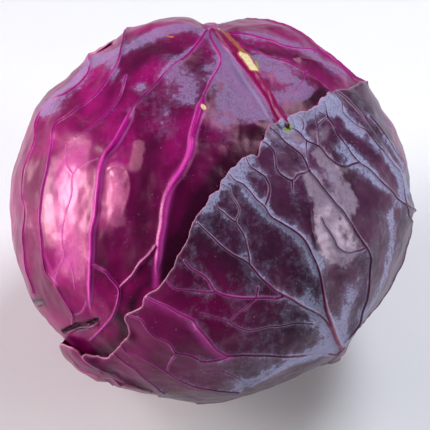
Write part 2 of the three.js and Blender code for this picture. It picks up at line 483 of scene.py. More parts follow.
def sheet(outline, want, limit):
    """Square places, directions and faces of a mesh, with edges as long as want says while the
    limit allows it."""
    ticks = np.linspace(-1, 1, SHEET_START + 1)
    square = np.stack(np.meshgrid(ticks, ticks, indexing="ij"), axis=-1).reshape(-1, 2)
    i, j = np.meshgrid(np.arange(SHEET_START), np.arange(SHEET_START), indexing="ij")
    a = (i * (SHEET_START + 1) + j).ravel()
    b, d = a + SHEET_START + 1, a + 1
    c = b + 1
    faces = np.vstack([columns(b, c, a), columns(d, a, c)])
    while True:
        dirs = outline.dirs(outline.place(square)[0])
        p = dirs[faces] * HEAD_RADIUS
        area = np.linalg.norm(np.cross(p[:, 1] - p[:, 0], p[:, 2] - p[:, 0]), axis=1) / 2
        wish = want(unit(dirs[faces].mean(1)))
        excess = area / (0.5 * wish**2)
        chosen = np.flatnonzero(excess > 1.0)
        room = int((limit - len(faces)) / HALVING_COST)
        if len(chosen) == 0 or room <= 0:
            return square, dirs, faces
        if len(chosen) > room:
            chosen = chosen[np.argsort(-excess[chosen])[:room]]
        square, faces = halve(square, faces, chosen)


# Relief: veins, ridges and creases along lines, and soft spots

# For each kind of vein, in millimetres: half its width, how far it stands out, how far the blade
# rises towards it and over what distance. Then how strong its colour is and how much it tapers
VEIN_KINDS = {
    "midrib": (3.3, 1.7, 0.7, 7.0, 1.0, 0.2),
    "spine": (3.4, 1.8, 0.7, 7.0, 1.0, 0.85),
    "ridge": (1.5, 1.2, 1.7, 8.0, 0.85, 0.45),
    "main": (0.62, 0.9, 1.5, 8.0, 1.0, 0.35),
    "side": (0.48, 0.65, 0.9, 6.0, 0.95, 0.3),
    "fine": (0.36, 0.4, 0.35, 4.0, 0.85, 0.35),
    "trace": (0.36, 0.2, 0.15, 3.0, 0.5, 0.4),
    "fold": (1.2, 0.35, 1.3, 9.0, 0.0, 0.45),
    "crease": (0.8, -0.8, -0.15, 4.0, 0.5, 0.3),
    "tear": (0.7, -2.0, -0.3, 3.0, 0.0, 0.2),
    "lip": (0.5, 0.7, 0.5, 2.5, 0.0, 0.2),
}
FADING_KINDS = ("ridge", "fold", "tear", "lip")
FOOTLESS_KINDS = ("fold", "crease", "tear", "lip")
FADE = 0.15  # share of such a line that rises from nothing at either end
FAINTEST = 0.01  # what is left of its size at the very ends
THICK_VEIN = 3.0  # half width from which a vein has a flat top and steep sides
THICK_POWER, THIN_POWER = 5, 2
RIDGE_POWER = 4  # how sharply the slopes of neighbouring veins meet
LEAN_REACH = 2.6  # how many times its spread a slope reaches
LINE_STEP = 1.5
LINE_CHUNK = 8  # steps of a line that are looked at together
CREST_SHARE = 0.6  # length of edges on a vein, as a share of its half width
CREST_FINEST = 0.26
CREST_COARSEST = 0.6
CREST_REACH = 2.4  # how many half widths from a vein its mesh stays finer
GROOVE_BED = 4.0
GROOVE_SINK = 1.2  # how far the inside gives way, as a share of the groove
SHOULDER = 1.6  # how far a vein's foot reaches beyond its crest, in millimetres
SHOULDER_REACH = 2.5
SHOULDER_TAPER = 0.4
SPOT_REACH = 2.6  # how many radii from its line a soft spot still counts


def near_line(dirs, line, reach):
    """Which places are within reach of a line, how far from it, and at what share of it."""
    places, line = dirs * HEAD_RADIUS, line_over(line)
    near = np.flatnonzero(within(places, line, reach))
    p = places[near]
    best = np.full(len(near), reach**2)
    share = np.zeros(len(near))
    last = len(line) - 1
    for first in range(0, last, LINE_CHUNK):
        end = min(first + LINE_CHUNK, last)
        index = np.flatnonzero(within(p, line[first : end + 1], reach))
        q = p[index]
        for k in range(first, end):
            along = line[k + 1] - line[k]
            offset = q - line[k]
            t = np.clip((offset @ along) / (along @ along), 0, 1)
            square = ((offset - t[:, None] * along) ** 2) @ np.ones(3)
            closer = square < best[index]
            best[index[closer]] = square[closer]
            share[index[closer]] = (k + t[closer]) / last
    return near, np.sqrt(best), share


def within(places, line, reach):
    """Whether places are in the box round a line, widened by reach."""
    low, high = line.min(0) - reach, line.max(0) + reach
    x, y, z = places.T
    inside = (x > low[0]) & (x < high[0])
    inside &= (y > low[1]) & (y < high[1])
    return inside & (z > low[2]) & (z < high[2])


def line_over(dirs):
    """A smooth line over the head, in millimetres, through directions."""
    return unit(spline(dirs * HEAD_RADIUS, LINE_STEP)) * HEAD_RADIUS


def bell(away, spread, power=2):
    """From 1 on a line to 0 far from it."""
    return np.exp(-((away / spread) ** power))


def vein_shoulder(dirs, veins):
    """How close each direction is to the foot of a vein, from 0 to 1."""
    shoulder = np.zeros(len(dirs))
    for kind, line in veins:
        if kind in FOOTLESS_KINDS:
            continue
        half_width, tint = VEIN_KINDS[kind][0], VEIN_KINDS[kind][4]
        spread = half_width + SHOULDER
        near, away, share = near_line(dirs, line, SHOULDER_REACH * spread)
        value = tint * (1 - SHOULDER_TAPER * share) * bell(away, spread)
        shoulder[near] = np.maximum(shoulder[near], value)
    return shoulder


def groove_bed(dirs, veins):
    """How far a leaf's inside gives way under its creases and tears."""
    bed = np.zeros(len(dirs))
    for kind, line in veins:
        rise = VEIN_KINDS[kind][1]
        if rise < 0:
            near, away, _ = near_line(dirs, line, 3 * GROOVE_BED)
            bed[near] = np.minimum(bed[near], GROOVE_SINK * rise * bell(away, GROOVE_BED))
    return bed


def crest_size(dirs, veins, blade):
    """How long a mesh's edges should be for the veins to come out."""
    size = np.full(len(dirs), blade)
    for kind, line in veins:
        half_width = VEIN_KINDS[kind][0]
        reach = CREST_REACH * half_width
        near, away, _ = near_line(dirs, line, reach)
        fine = np.clip(CREST_SHARE * half_width, CREST_FINEST, CREST_COARSEST)
        wish = fine + (blade - fine) * ramp(reach / 2, reach, away)
        size[near] = np.minimum(size[near], wish)
    return size


def vein_relief(dirs, veins):
    """How far veins raise each direction, and how much of their colour it has."""
    crest = np.zeros(len(dirs))
    groove = np.zeros(len(dirs))
    ridge = np.zeros(len(dirs))
    colour = np.zeros(len(dirs))
    for kind, line in veins:
        half_width, rise, lean, spread, tint, taper = VEIN_KINDS[kind]
        reach = max(LEAN_REACH * spread, 3 * half_width)
        near, away, share = near_line(dirs, line, reach)
        size = 1 - taper * share
        if kind in FADING_KINDS:
            size = size * ramp(0.0, FADE, share)
            size = size * ramp(1.0, 1 - FADE, share) + FAINTEST
        power = THICK_POWER if half_width > THICK_VEIN else THIN_POWER
        profile = size * bell(away, half_width * size, power)
        colour[near] = np.maximum(colour[near], tint * profile)
        slope = lean * size * bell(away, spread, 1) * ramp(reach, reach / 2, away)
        if rise > 0:
            crest[near] = np.maximum(crest[near], rise * profile)
            ridge[near] += slope**RIDGE_POWER
        else:
            groove[near] = np.minimum(groove[near], rise * profile + slope)
    return crest + ridge ** (1 / RIDGE_POWER) + groove, colour


def spots(dirs, marks):
    """The sum of soft spots: (line of directions, radius in millimetres, amount)."""
    total = np.zeros(len(dirs))
    for line, radius, amount in marks:
        if len(line) == 1:
            away = np.linalg.norm(dirs * HEAD_RADIUS - line[0] * HEAD_RADIUS, axis=1)
            total += amount * bell(away, radius)
        else:
            near, away, _ = near_line(dirs, line, SPOT_REACH * radius)
            total[near] += amount * bell(away, radius)
    return total


# Side veins of a leaf that is grown and not drawn. PAIR_AT is where the left and the right vein
# of a pair leave the midrib, and PAIR_TIP how much of it stays bare, in shares of a pair's length
PAIR_AT = {-1: 0.85, 1: 0.5}
PAIR_TIP = 0.6
VEIN_LEAN, VEIN_BEND = math.radians(52.0), math.radians(28.0)
VEIN_LEAST, VEIN_BELLY = 0.55, 0.45  # shares of a vein's length: always there, and in the middle
BELLY_SHIFT = 0.15
TWIGS = 3
TWIG_START, TWIG_SPREAD = 0.3, 0.6  # shares of the vein that they leave
TWIG_LEAN, TWIG_BEND = math.radians(48.0), math.radians(30.0)
TWIG_LENGTH, TWIG_SHRINK = 0.42, 0.07
MIDRIB_STEP = 0.02
MIDRIB_PARTS = 16
WANDER_STEPS = 7


def pinnate(path, pairs, reach):
    """A midrib along a line, and pairs of veins that reach so far either side of it."""
    midrib = unit(spline(path, MIDRIB_STEP))
    veins = [("spine", midrib[:: max(1, len(midrib) // MIDRIB_PARTS)])]
    for pair in range(pairs):
        for hand in (-1, 1):
            at = (pair + PAIR_AT[hand]) / (pairs + PAIR_TIP)
            i = min(int(at * (len(midrib) - 2)), len(midrib) - 2)
            ahead = unit(midrib[i + 1] - midrib[i])
            belly = math.sin(math.pi * min(1.0, at + BELLY_SHIFT))
            size = reach * (VEIN_LEAST + VEIN_BELLY * belly)
            line = wander(midrib[i], ahead, hand * VEIN_LEAN, -hand * VEIN_BEND, size)
            veins.append(("main" if pair % 2 == 0 or hand > 0 else "side", line))
            veins += twigs_of(line, hand, size)
    return veins


def twigs_of(line, hand, size):
    """Fine veins on either side of a side vein, each shorter than the last."""
    veins = []
    for twig in range(TWIGS):
        j = int((TWIG_START + TWIG_SPREAD * twig / TWIGS) * (len(line) - 2))
        way = unit(line[j + 1] - line[j])
        swing = hand * (1 if twig % 2 else -1)
        short = size * (TWIG_LENGTH - TWIG_SHRINK * twig)
        veins.append(("fine", wander(line[j], way, swing * TWIG_LEAN, -swing * TWIG_BEND, short)))
    return veins


def wander(start, ahead, turn, bend, length):
    """A line of directions from start, turned from ahead and then bending evenly back."""
    line = [start]
    here, way = start, ahead
    for step in range(WANDER_STEPS):
        angle = turn if step == 0 else bend / (WANDER_STEPS - 1)
        way = unit(way - (way @ here) * here)
        way = way * math.cos(angle) + np.cross(here, way) * math.sin(angle)
        here = unit(here + way * (length / WANDER_STEPS / HEAD_RADIUS))
        line.append(here)
    return np.array(line)


# The leaves

CLOSE_LIFT = 0.4  # how far above the crown leaf an edge would lie, but for its thickness
CLOSE_SPREAD = 9.0
EDGE_LIFT = 0.7  # how far above the crown leaf it does lie
TONGUE_LIFT = 1.7  # and how far where it lies on the flap
LUMP_WAVES = (20, 9.0, 30.0)
LUMP_HEIGHT = 0.22
LUMPS_SMOOTHED = 0.6  # share of the lumps that goes where the blade has a sheen
GRAIN_WAVES = (26, 2.5, 8.0)
GRAIN_HEIGHT = 0.05
LUMP_SEED, GRAIN_SEED = 40, 80  # added to a leaf's own
FLAT_UNDER = (9.0, 1.0)  # how deep under another leaf its relief begins to go, and is gone
REST_FROM = (-6.0, -1.0)  # how far outside a leaf's margin another begins to rest on it, and does
REST_SOFTNESS = 0.25


class Leaf:
    """A leaf's outline and everything that shapes and colours it."""

    def __init__(self, name, hub, margin, veins, seed, **marks):
        self.name = name
        self.lift = LIFT[name]
        self.outline = Outline(hub, margin, seed)
        self.veins = veins
        self.marks = marks
        self.lumps = waves(seed + LUMP_SEED, *LUMP_WAVES)
        self.grain = waves(seed + GRAIN_SEED, *GRAIN_WAVES)
        self.under = []
        self.over = []

    def spots(self, dirs, kind):
        return spots(dirs, self.marks.get(kind, []))

    def drop(self, dirs):
        """How much lower the leaf lies beyond its pleats."""
        total = np.zeros(len(dirs))
        for line, amount, width in self.marks.get("pleats", []):
            across = unit(np.cross(line[1] - line[0], line[2] - line[0]))
            beyond = (dirs - line[0]) @ across * HEAD_RADIUS
            total += amount * ramp(-width / 2, width / 2, beyond)
        return total

    def relief(self, dirs, vein_height):
        """How far veins, lumps and grain raise each direction, and its vein colour."""
        relief, colour = vein_relief(dirs, self.veins)
        places = dirs * HEAD_RADIUS
        free = 1.0
        for leaf in self.over:
            free = free * ramp(*FLAT_UNDER, leaf.outline.depth(dirs))
        sheen = np.minimum(self.spots(dirs, "sheen"), 1)
        lumps = LUMP_HEIGHT * (1 - LUMPS_SMOOTHED * sheen)
        relief = relief * vein_height + lumps * self.lumps(places) + GRAIN_HEIGHT * self.grain(places)
        return relief * free + self.spots(dirs, "swell"), colour

    def surface(self, dirs, vein_height=1.0):
        """How far the outside is from the head's centre in each direction, how much vein colour
        it has there, and how far inside the margin it is."""
        relief, colour = self.relief(dirs, vein_height)
        depth = self.outline.depth(dirs)
        close = (self.lift - CLOSE_LIFT) * np.exp(-np.maximum(depth, 0) / CLOSE_SPREAD)
        settle = close if self.under else 0.0
        height = head_radius(dirs) + self.lift + relief - settle - self.drop(dirs)
        for leaf in self.under:
            inside = ramp(*REST_FROM, leaf.outline.depth(dirs))
            rest = leaf.surface(dirs, vein_height)[0] + LEAF_GAP + MARGIN_THICKNESS
            height = height + inside * (soft_max(height, rest, REST_SOFTNESS) - height)
        return height + self.spots(dirs, "loose"), colour, depth


def soft_max(a, b, width):
    """The larger of two heights, with a rounded change between them."""
    return b + width * np.logaddexp(0, (a - b) / width)


# Veins of the front leaf, drawn in the view: each kind, and points from its root to its tip
FRONT_VEINS = [
    ("ridge", [(342, 352), (337, 341), (331, 323), (327, 312), (325, 302), (322, 285)]),
    ("main", [(341, 350), (337, 341), (331, 323), (327, 312), (325, 302), (322, 281), (316, 261),
        (307, 243), (300, 235), (284, 224), (271, 216), (265, 206), (257, 199), (250, 190), (243, 183),
        (236, 180), (229, 172)]),
    ("side", [(266, 204), (269.5, 194.5), (270, 186), (268, 180), (265, 175.5), (258, 171), (250, 165),
        (246, 156)]),
    ("main", [(345, 342), (360, 324), (363, 314), (367, 300), (370, 285), (371, 270), (372, 260),
        (370.5, 254), (366, 246), (359, 234), (350, 220), (345, 212), (336, 202), (326.5, 189.5),
        (317, 178), (310, 170), (307, 162), (302, 154), (297, 149), (286, 140), (278, 131.5),
        (270, 124)]),
    ("side", [(310, 170), (305, 173), (299, 174), (293, 180), (286, 177), (281, 173), (277, 166),
        (276, 158), (274.5, 151), (268, 145), (261, 141)]),
    ("fine", [(292, 181), (292, 190)]),
    ("side", [(366, 247), (361, 250), (355, 251.5), (348, 252.7), (343, 250.6), (338, 246.5), (336, 241),
        (332, 234), (326, 225), (323, 218)]),
    ("side", [(360, 162), (353, 164), (348, 166), (343, 165.5), (337, 163), (331.5, 159), (326.5, 154),
        (321, 147), (314, 143), (307, 140), (302, 133), (296, 128), (292.5, 126.5)]),
    ("fine", [(319, 147), (319, 136), (318, 126), (314, 119), (311, 112)]),
    ("fine", [(318, 125), (321.5, 121), (327, 117.5)]),
    ("fine", [(306.6, 140), (306, 148), (306, 156)]),
    ("fine", [(303, 129), (304, 125), (301, 119), (298, 116)]),
    ("fine", [(295, 127), (295, 121.5), (292.5, 116)]),
    ("crease", [(339, 91), (346, 96), (352, 100.5), (360.5, 109.6), (365.5, 117), (370, 125),
        (377, 134.5), (384, 143.6), (392, 155), (399, 165), (405, 177)]),
    ("side", [(374, 114), (384, 125), (392, 136), (402, 151), (408, 160.5)]),
    ("side", [(331, 329), (321, 316), (314, 312), (305, 308), (293, 300.5), (284, 295.5), (276, 291),
        (269.5, 285.5), (262, 279), (256, 272), (250, 265), (243, 260), (233, 255), (226, 250),
        (220, 245), (213, 238), (206, 231.5), (197, 223)]),
    ("fine", [(250, 263), (249, 254), (247, 246), (244.6, 237), (241, 230), (236, 222), (239, 213),
        (239, 207.5), (235, 200), (231, 193), (230, 188), (220, 182)]),
    ("fine", [(235, 221.6), (228, 216.6), (223, 211.6), (218, 208), (215.6, 203), (215, 198)]),
    ("side", [(284, 297), (278, 298.7), (265, 298), (253, 298), (236, 298), (224, 296), (215, 292),
        (211.5, 287), (207, 279.6), (201, 274.6), (191, 269), (184, 261)]),
    ("fine", [(213, 292.5), (203, 293), (187, 291), (174, 289), (170, 286), (165, 280)]),
    ("main", [(341, 353), (325, 354), (316, 354.5), (305, 356), (290, 357), (260, 357), (243, 357),
        (228, 358), (222, 355), (216, 351), (210, 343), (203, 335), (196.5, 328), (193, 322), (187, 319),
        (176, 314), (166, 308), (155, 304), (145, 299)]),
    ("side", [(228, 358), (218, 361), (208, 362.6), (201.5, 362.6), (196, 360), (187, 356), (181, 355),
        (175, 353), (171.6, 347), (166.6, 343), (158, 340), (149, 334), (144, 327), (140, 322),
        (133, 320), (126, 317.5)]),
    ("fine", [(175, 356), (172.4, 360), (169, 365.5), (167.5, 371)]),
    ("side", [(239, 393.7), (226, 393), (214, 392), (201.5, 389.5), (189, 386), (177, 380.5),
        (168, 374.6), (158, 368), (148, 361.5), (137, 357), (125, 354), (118, 348)]),
    ("side", [(164, 394.6), (154, 387), (143, 378), (134.6, 371), (123, 364), (111, 356)]),
    ("fine", [(206, 373), (216, 372), (224, 373), (235, 377), (248, 382)]),
    ("fine", [(312, 323), (299, 323), (280, 327), (272, 327), (259.5, 330), (251, 331), (239, 328),
        (229, 321.6), (218, 318.7), (210, 316), (200.6, 313)]),
    ("fine", [(258, 287), (257, 292), (255, 298), (241, 311), (229, 321.6)]),
    ("fold", [(310, 170), (304, 174), (307, 194), (311, 214), (312, 227), (316, 243), (319, 256)]),
    ("fold", [(241, 391), (258, 381), (272, 373), (284, 365), (316, 354)]),
]

# The part of the front leaf's margin that shows, from the upper right to the lower left
FRONT_MARGIN = [
    (369, 86), (360.5, 82), (355, 85), (350, 87), (343, 90), (335.6, 90), (330, 92), (325.7, 94),
    (322, 97.5), (319, 101), (318, 105), (314, 107), (309, 110), (307, 112), (301, 112), (292, 114),
    (288, 117), (287, 124), (284, 124), (282, 120), (278, 121), (270, 124), (266.6, 129), (264.5, 135),
    (261, 141), (260, 146), (259, 151), (257, 157), (253, 154), (247, 155), (244.6, 157), (239, 162),
    (235, 165.5), (228, 170.5), (224, 178), (220, 182), (219, 190), (215, 192), (210, 195), (208, 202),
    (201.5, 208.5), (195, 220), (189.5, 231), (182.5, 249), (176, 261), (170.5, 270), (164.5, 280),
    (158, 288), (146, 294), (143, 298), (141, 305), (135.5, 310), (125.5, 315.5), (123.5, 320),
    (127.5, 328), (128.4, 336), (120.5, 343), (114.7, 350), (108, 356),
]
# Its tongue, which lies on the outer leaf's flap
FRONT_TONGUE = [
    (105, 360), (99, 360.5), (95, 358.2), (91, 359), (86.6, 356.6), (81, 357), (83, 361), (90, 366),
    (97, 369.5), (105, 373), (115, 377.5), (125, 382), (137, 386.5), (150, 391.5),
]
# The rest of it, as directions: underneath and round the right
FRONT_MARGIN_REST = [
    (-106, 126), (-100, 138), (-86, 148), (-68, 157), (-55, 162), (-42, 162), (-28, 157), (0, 141),
    (17, 120), (29, 100), (34, 84),
]

# The crown leaf's midrib: behind the head, and where it comes over it
CROWN_MIDRIB_BEHIND = [(90, 162), (90, 140), (90, 115), (90, 90), (89.5, 66)]
CROWN_MIDRIB = [(213, 25), (220, 33), (229, 43), (239, 54), (250, 67), (259, 78), (267, 90),
                (274, 102), (281, 115), (286, 126)]
CROWN_VEINS = [
    ("main", [(207, 30), (199, 40), (185, 55), (171, 66), (158, 78), (144, 93), (132, 105),
        (127.5, 118)]),
    ("ridge", [(144, 93), (132, 105), (127.5, 118), (121, 131), (114, 144), (104, 155), (99, 171),
        (96, 192), (94, 210), (91, 229), (90, 258), (89, 288), (87, 307), (88, 323)]),
    ("main", [(210, 29), (211, 38), (217, 48), (221, 58), (217, 70), (211, 79), (203.5, 94), (201, 105)]),
    ("ridge", [(207, 86), (203.5, 94), (201, 105), (197.5, 117), (194, 129), (192, 138), (191, 150),
        (187, 162), (181, 173), (172, 184), (166, 196), (163, 210), (161.5, 225), (159, 240), (158, 257),
        (155.5, 273), (154, 290)]),
    ("side", [(156, 246), (150, 254), (139, 265), (132, 275.6), (119, 288)]),
    ("side", [(88, 261), (100, 269), (105.6, 272), (111, 280), (118, 289), (118.5, 296), (116, 307),
        (112, 317), (105, 326), (96.5, 335), (89, 342)]),
    ("fold", [(104, 176), (110, 168), (118, 165.5), (126, 169), (130, 178), (130, 192), (127, 206),
        (120, 222)]),
    ("side", [(125, 74), (121, 90.5), (110, 108), (96, 122), (82, 132), (74, 136)]),
    ("trace", [(67, 145), (67, 164.5), (74, 175.5)]),
    ("trace", [(99, 158), (88, 163), (74, 175.5), (73, 192), (67, 214), (63, 229), (63, 244), (64.5, 255),
        (58.7, 267.5), (55, 286.5)]),
    ("trace", [(64.5, 255), (70.4, 264.5), (73.3, 276), (75, 288)]),
    ("trace", [(86.5, 303), (83.6, 310), (78, 314), (70, 313)]),
    ("side", [(229, 31), (249, 34), (260, 37), (274, 40), (284, 44), (298, 47), (319, 49.5), (327, 54),
        (336, 61.5), (348, 71.5), (360, 81)]),
    ("side", [(239, 41), (248, 47), (260, 52), (270, 55.6), (284, 59), (298, 65), (312, 73), (323, 80),
        (330, 86), (335, 89)]),
    ("fine", [(306.6, 70), (305, 74), (303, 81), (293, 92)]),
    ("fold", [(290, 56), (307, 59), (323, 63), (336, 68), (342, 71.5), (360, 82)]),
    ("tear", [(61, 331), (66, 331.5), (71, 328), (78, 325), (86, 325), (92, 323), (97, 320),
        (101.4, 316)]),
    ("lip", [(62, 335), (70, 332), (78, 329), (87, 328.5), (94, 326.5), (101, 320)]),
    ("tear", [(28, 299), (36, 302.5), (44, 301)]),
]
# Veins of the front leaf that leave its midrib low down and come over the head's right edge
FRONT_VEINS_OVER = [
    ("main", [(-44, 136), (-32, 119), (-19, 105), (-8, 94)],
     [(409, 214), (408, 207), (400, 199), (393, 190), (385, 183), (377, 175), (369, 167),
      (362, 163), (359, 160), (353, 153), (349, 145.6), (344, 139), (338, 130.6),
      (335, 124), (329, 117), (326, 112), (321, 104)]),
    ("main", [(-45, 143), (-27, 127), (-10, 108), (-1, 94)],
     [(407, 202), (406, 189.5), (404.5, 180), (402, 171), (397, 165), (391, 158), (384, 150),
      (378, 143), (373, 136), (369, 130), (360, 125), (355.5, 121.5), (350.5, 116), (345, 110),
      (343, 102), (338, 95)]),
]
# Veins that leave the midrib behind the head and come over its edge into the view
CROWN_VEINS_OVER = [
    ("main", [(90, 108), (100, 82), (112, 66)],
     [(120, 50), (115, 64), (107, 78), (96, 92), (82, 103), (68.6, 112), (55, 122), (51, 132),
      (49, 151), (45, 171), (40, 192), (38, 214), (39, 229), (41, 251), (44, 273),
      (54, 286.5), (61.6, 300), (70.4, 314), (69, 329)]),
    ("main", [(90, 128), (106, 100), (124, 78)],
     [(88, 70), (77, 84), (62, 94.6), (48, 101.5), (38.4, 110), (34.3, 121), (33, 137),
      (26, 158), (20.6, 175.5), (19, 192), (23, 211), (22, 244), (24, 266), (31.5, 294)]),
]
# Veins that stay behind the head, as directions
CROWN_VEINS_BEHIND = [
    ("main", [(90, 140), (108, 124), (132, 106), (156, 98), (178, 104)]),
    ("side", [(90, 150), (112, 141), (138, 128), (160, 122)]),
    ("main", [(90, 70), (72, 56), (54, 50), (38, 52), (28, 62)]),
    ("main", [(90, 92), (70, 78), (52, 73), (38, 78)]),
    ("main", [(90, 115), (70, 102), (54, 98), (44, 102)]),
    ("side", [(90, 135), (74, 126), (62, 122), (54, 118)]),
    ("fine", [(72, 78), (62, 66), (54, 58)]),
    ("fine", [(80, 84), (74, 94), (64, 99)]),
    ("fine", [(62, 75), (58, 86), (54, 97)]),
    ("fine", [(112, 122), (116, 110), (114, 98)]),
    ("fine", [(132, 106), (132, 94), (126, 82)]),
    ("fine", [(150, 99), (156, 112), (158, 121)]),
    ("fine", [(124, 112), (136, 116), (142, 126)]),
]
# Its margin, as directions
CROWN_MARGIN = [
    (90, 163), (74, 150), (60, 130), (50, 108), (44, 95), (37, 82), (28, 70), (19, 60), (4, 52),
    (-20, 50), (-45, 50), (-75, 58), (-92, 74), (-104, 92), (-116, 110), (-134, 125), (-160, 134),
    (168, 142), (138, 152), (112, 160),
]

# The outer leaf's margin: the loose flap's edge, to where the front leaf covers it
OUTER_FLAP = [
    (58.3, 350.5), (59.5, 346.5), (62.5, 344), (66, 346.5), (71, 347.5), (76, 350), (81, 354.5),
    (90, 361), (102, 368), (116, 375), (130, 381), (145, 387),
]
# How far the flap stands off the head at bearings in the view, and where from the view's axis
FLAP_STAND = [(224.5, 3.2), (230.5, 2.7), (237.0, 0.6)]
FLAP_TILTS = (64, 80, 96)
FLAP_SPREAD = 6.0
OUTER_MARGIN_REST = [
    (-106, 124), (-106, 136), (-124, 152), (174, 163), (142, 153), (122, 134), (113, 110), (115, 88),
]
# From the lobe at the upper left, behind the head, to the flap: its bearing in the view, and its
# tilt from the view's axis
OUTER_MARGIN_BEHIND = [
    (117, 104), (119, 94), (121, 85), (123.5, 80), (126.5, 79.5), (128.5, 85), (131, 94), (140, 99),
    (155, 101), (170, 102), (185, 102), (200, 103), (208, 106), (214, 108), (219, 107), (221.5, 99),
    (222.5, 88),
]
# Its veins behind the head, as directions, and those drawn on the flap
OUTER_VEINS_BEHIND = [
    ("spine", [(174, 162), (172, 148), (168, 132), (162, 116), (154, 102), (146, 92)]),
    ("main", [(173, 150), (-170, 136), (-156, 124), (-146, 116)]),
    ("main", [(171, 140), (-176, 124), (-166, 113)]),
    ("main", [(173, 152), (152, 142), (134, 128), (122, 112)]),
    ("main", [(169, 134), (150, 120), (134, 104), (124, 88)]),
    ("side", [(164, 120), (150, 106), (140, 94)]),
    ("side", [(-178, 148), (-158, 142), (-138, 132), (-120, 126)]),
    ("fine", [(-160, 140), (-146, 128), (-138, 120)]),
    ("fine", [(148, 140), (138, 122), (130, 112)]),
    ("fine", [(152, 121), (144, 112), (132, 106)]),
]
OUTER_VEINS = [
    ("side", [(149, 397), (128, 388), (112, 378), (99, 369)]),
    ("side", [(120, 388), (104, 377), (92, 366), (84, 360)]),
    ("fine", [(112, 387), (96, 376), (84, 366), (78, 358)]),
]
# The front leaf's midrib: its stalk as directions, and its line in the view
FRONT_STALK = [(-48, 163), (-46, 150), (-44, 134)]
FRONT_MIDRIB = [(341, 350), (337, 341), (331, 323), (325, 302), (322, 288)]
# Its veins that stay under the head, as directions
FRONT_VEINS_HIDDEN = [
    ("main", [(-46, 150), (-20, 142), (2, 126), (18, 108), (24, 92)]),
    ("side", [(-2, 132), (8, 114), (13, 98), (15, 84)]),
    ("main", [(-48, 150), (-70, 142), (-92, 134), (-108, 126)]),
    ("side", [(-46, 138), (-64, 128), (-80, 122), (-94, 118)]),
    ("fine", [(-20, 122), (-4, 122), (8, 116)]),
    ("fine", [(0, 103), (12, 104), (22, 98)]),
]

# Soft spots of a leaf, drawn in the view: a line, a radius in millimetres and an amount, and how
# far above the leaf the line is seen, where it isn't on it. A pleat has an amount and a width
FRONT_MARKS = {
    "loose": [
        ([(304, 110), (312, 105), (320, 99)], 6, 4.2), ([(262, 140), (256, 152)], 5, 2),
        ([(128, 338)], 2.5, 1.2), ([(341, 353)], 5, 2.2), ([(92, 358), (104, 361)], 5, 1.2),
    ],
    "pleats": [([(339, 91), (370, 125), (411, 196)], 1.6, 2.2)],
    "bloom": [
        ([(320, 104), (338, 112), (352, 130), (368, 148), (390, 168), (404, 190)], 5, 1),
        ([(292, 122), (306, 142), (326, 160), (350, 190)], 5.5, 0.85),
        ([(345, 150), (372, 178), (392, 204)], 6, 0.55), ([(285, 122), (300, 116), (318, 108)], 2.6, 0.8),
        ([(262, 142), (244, 160), (222, 184), (206, 208)], 3.2, 0.7),
        ([(238, 176), (262, 208), (296, 236), (318, 262)], 3, 0.5), ([(392, 140), (408, 175)], 3, 0.5),
        ([(392, 225), (386, 270), (362, 315)], 5, 0.55), ([(345, 340), (330, 344), (308, 354)], 4, 1.3),
        ([(350, 296), (342, 325)], 5, 0.6), ([(306, 296), (320, 320), (334, 340)], 3.5, 0.6),
        ([(240, 385), (275, 368), (315, 352)], 4.5, 0.8),
        # Rubbed bare, in the middle of the blade between veins
        ([(331, 131)], 3.4, -1.1), ([(311, 131)], 2.4, -1.1), ([(339, 121)], 2.6, -1.1),
        ([(298, 136)], 2.6, -1.1), ([(288, 156)], 3, -1.1), ([(266, 158)], 3, -1.1),
        ([(276, 185), (279, 205)], 3, -1.1), ([(350, 138), (372, 155), (392, 182)], 3.8, -1.1),
        ([(366, 192), (386, 203)], 3.2, -1.1), ([(318, 150), (345, 180), (362, 225)], 5, -1.1),
        ([(395, 215)], 2.2, -1.1), ([(160, 310), (150, 345), (120, 368)], 14, -0.4),
    ],
    # Painted shade: shadows under the raised margin and in the nick, and darker parts of the blade
    "dark_tone_and_shadow": [
        ([(236, 190), (220, 215), (200, 245), (190, 270)], 9, 0.45),
        ([(262, 215), (285, 250), (300, 285)], 8, 0.4), ([(265, 310), (285, 335)], 8, 0.4),
        ([(372, 135), (388, 160)], 2, 0.6), ([(285.5, 121), (287.5, 127)], 1.6, 2.4),
        ([(356, 92), (380, 118), (398, 146)], 3.5, 0.5),
    ],
    # Brighter vein crests, with a painted highlight on them
    "bright_tone_and_highlight": [
        ([(194, 325), (214, 350), (228, 357)], 1.6, 0.6), ([(146, 300), (175, 312), (194, 324)], 2, 0.35),
        ([(392, 155), (400, 170)], 2, 0.3),
    ],
    # Painted highlight: flat panels that mirror the right lamp, in pale grey pink
    "satin": [
        ([(311, 180), (322, 205), (330, 248)], 4.2, 1), ([(322, 232), (340, 262)], 5, 0.4),
        ([(334, 206), (348, 232), (351, 256)], 4, 0.45), ([(320, 154), (336, 178), (350, 202)], 5, 0.68),
    ],
    "wine": [
        ([(180, 300), (160, 320), (140, 345), (120, 365)], 14, 0.95),
        ([(220, 330), (200, 370), (180, 385)], 12, 0.7), ([(205, 270), (240, 305), (270, 300)], 8, 0.5),
        ([(384, 100), (398, 130), (408, 160)], 4.5, 1),
    ],
    "crimson": [(FRONT_MIDRIB, 1.9, 0.9)],
    "lime": [([(284.5, 129.5), (287.5, 131), (290, 128.5), (291, 124)], 0.5, 1.2)],
}
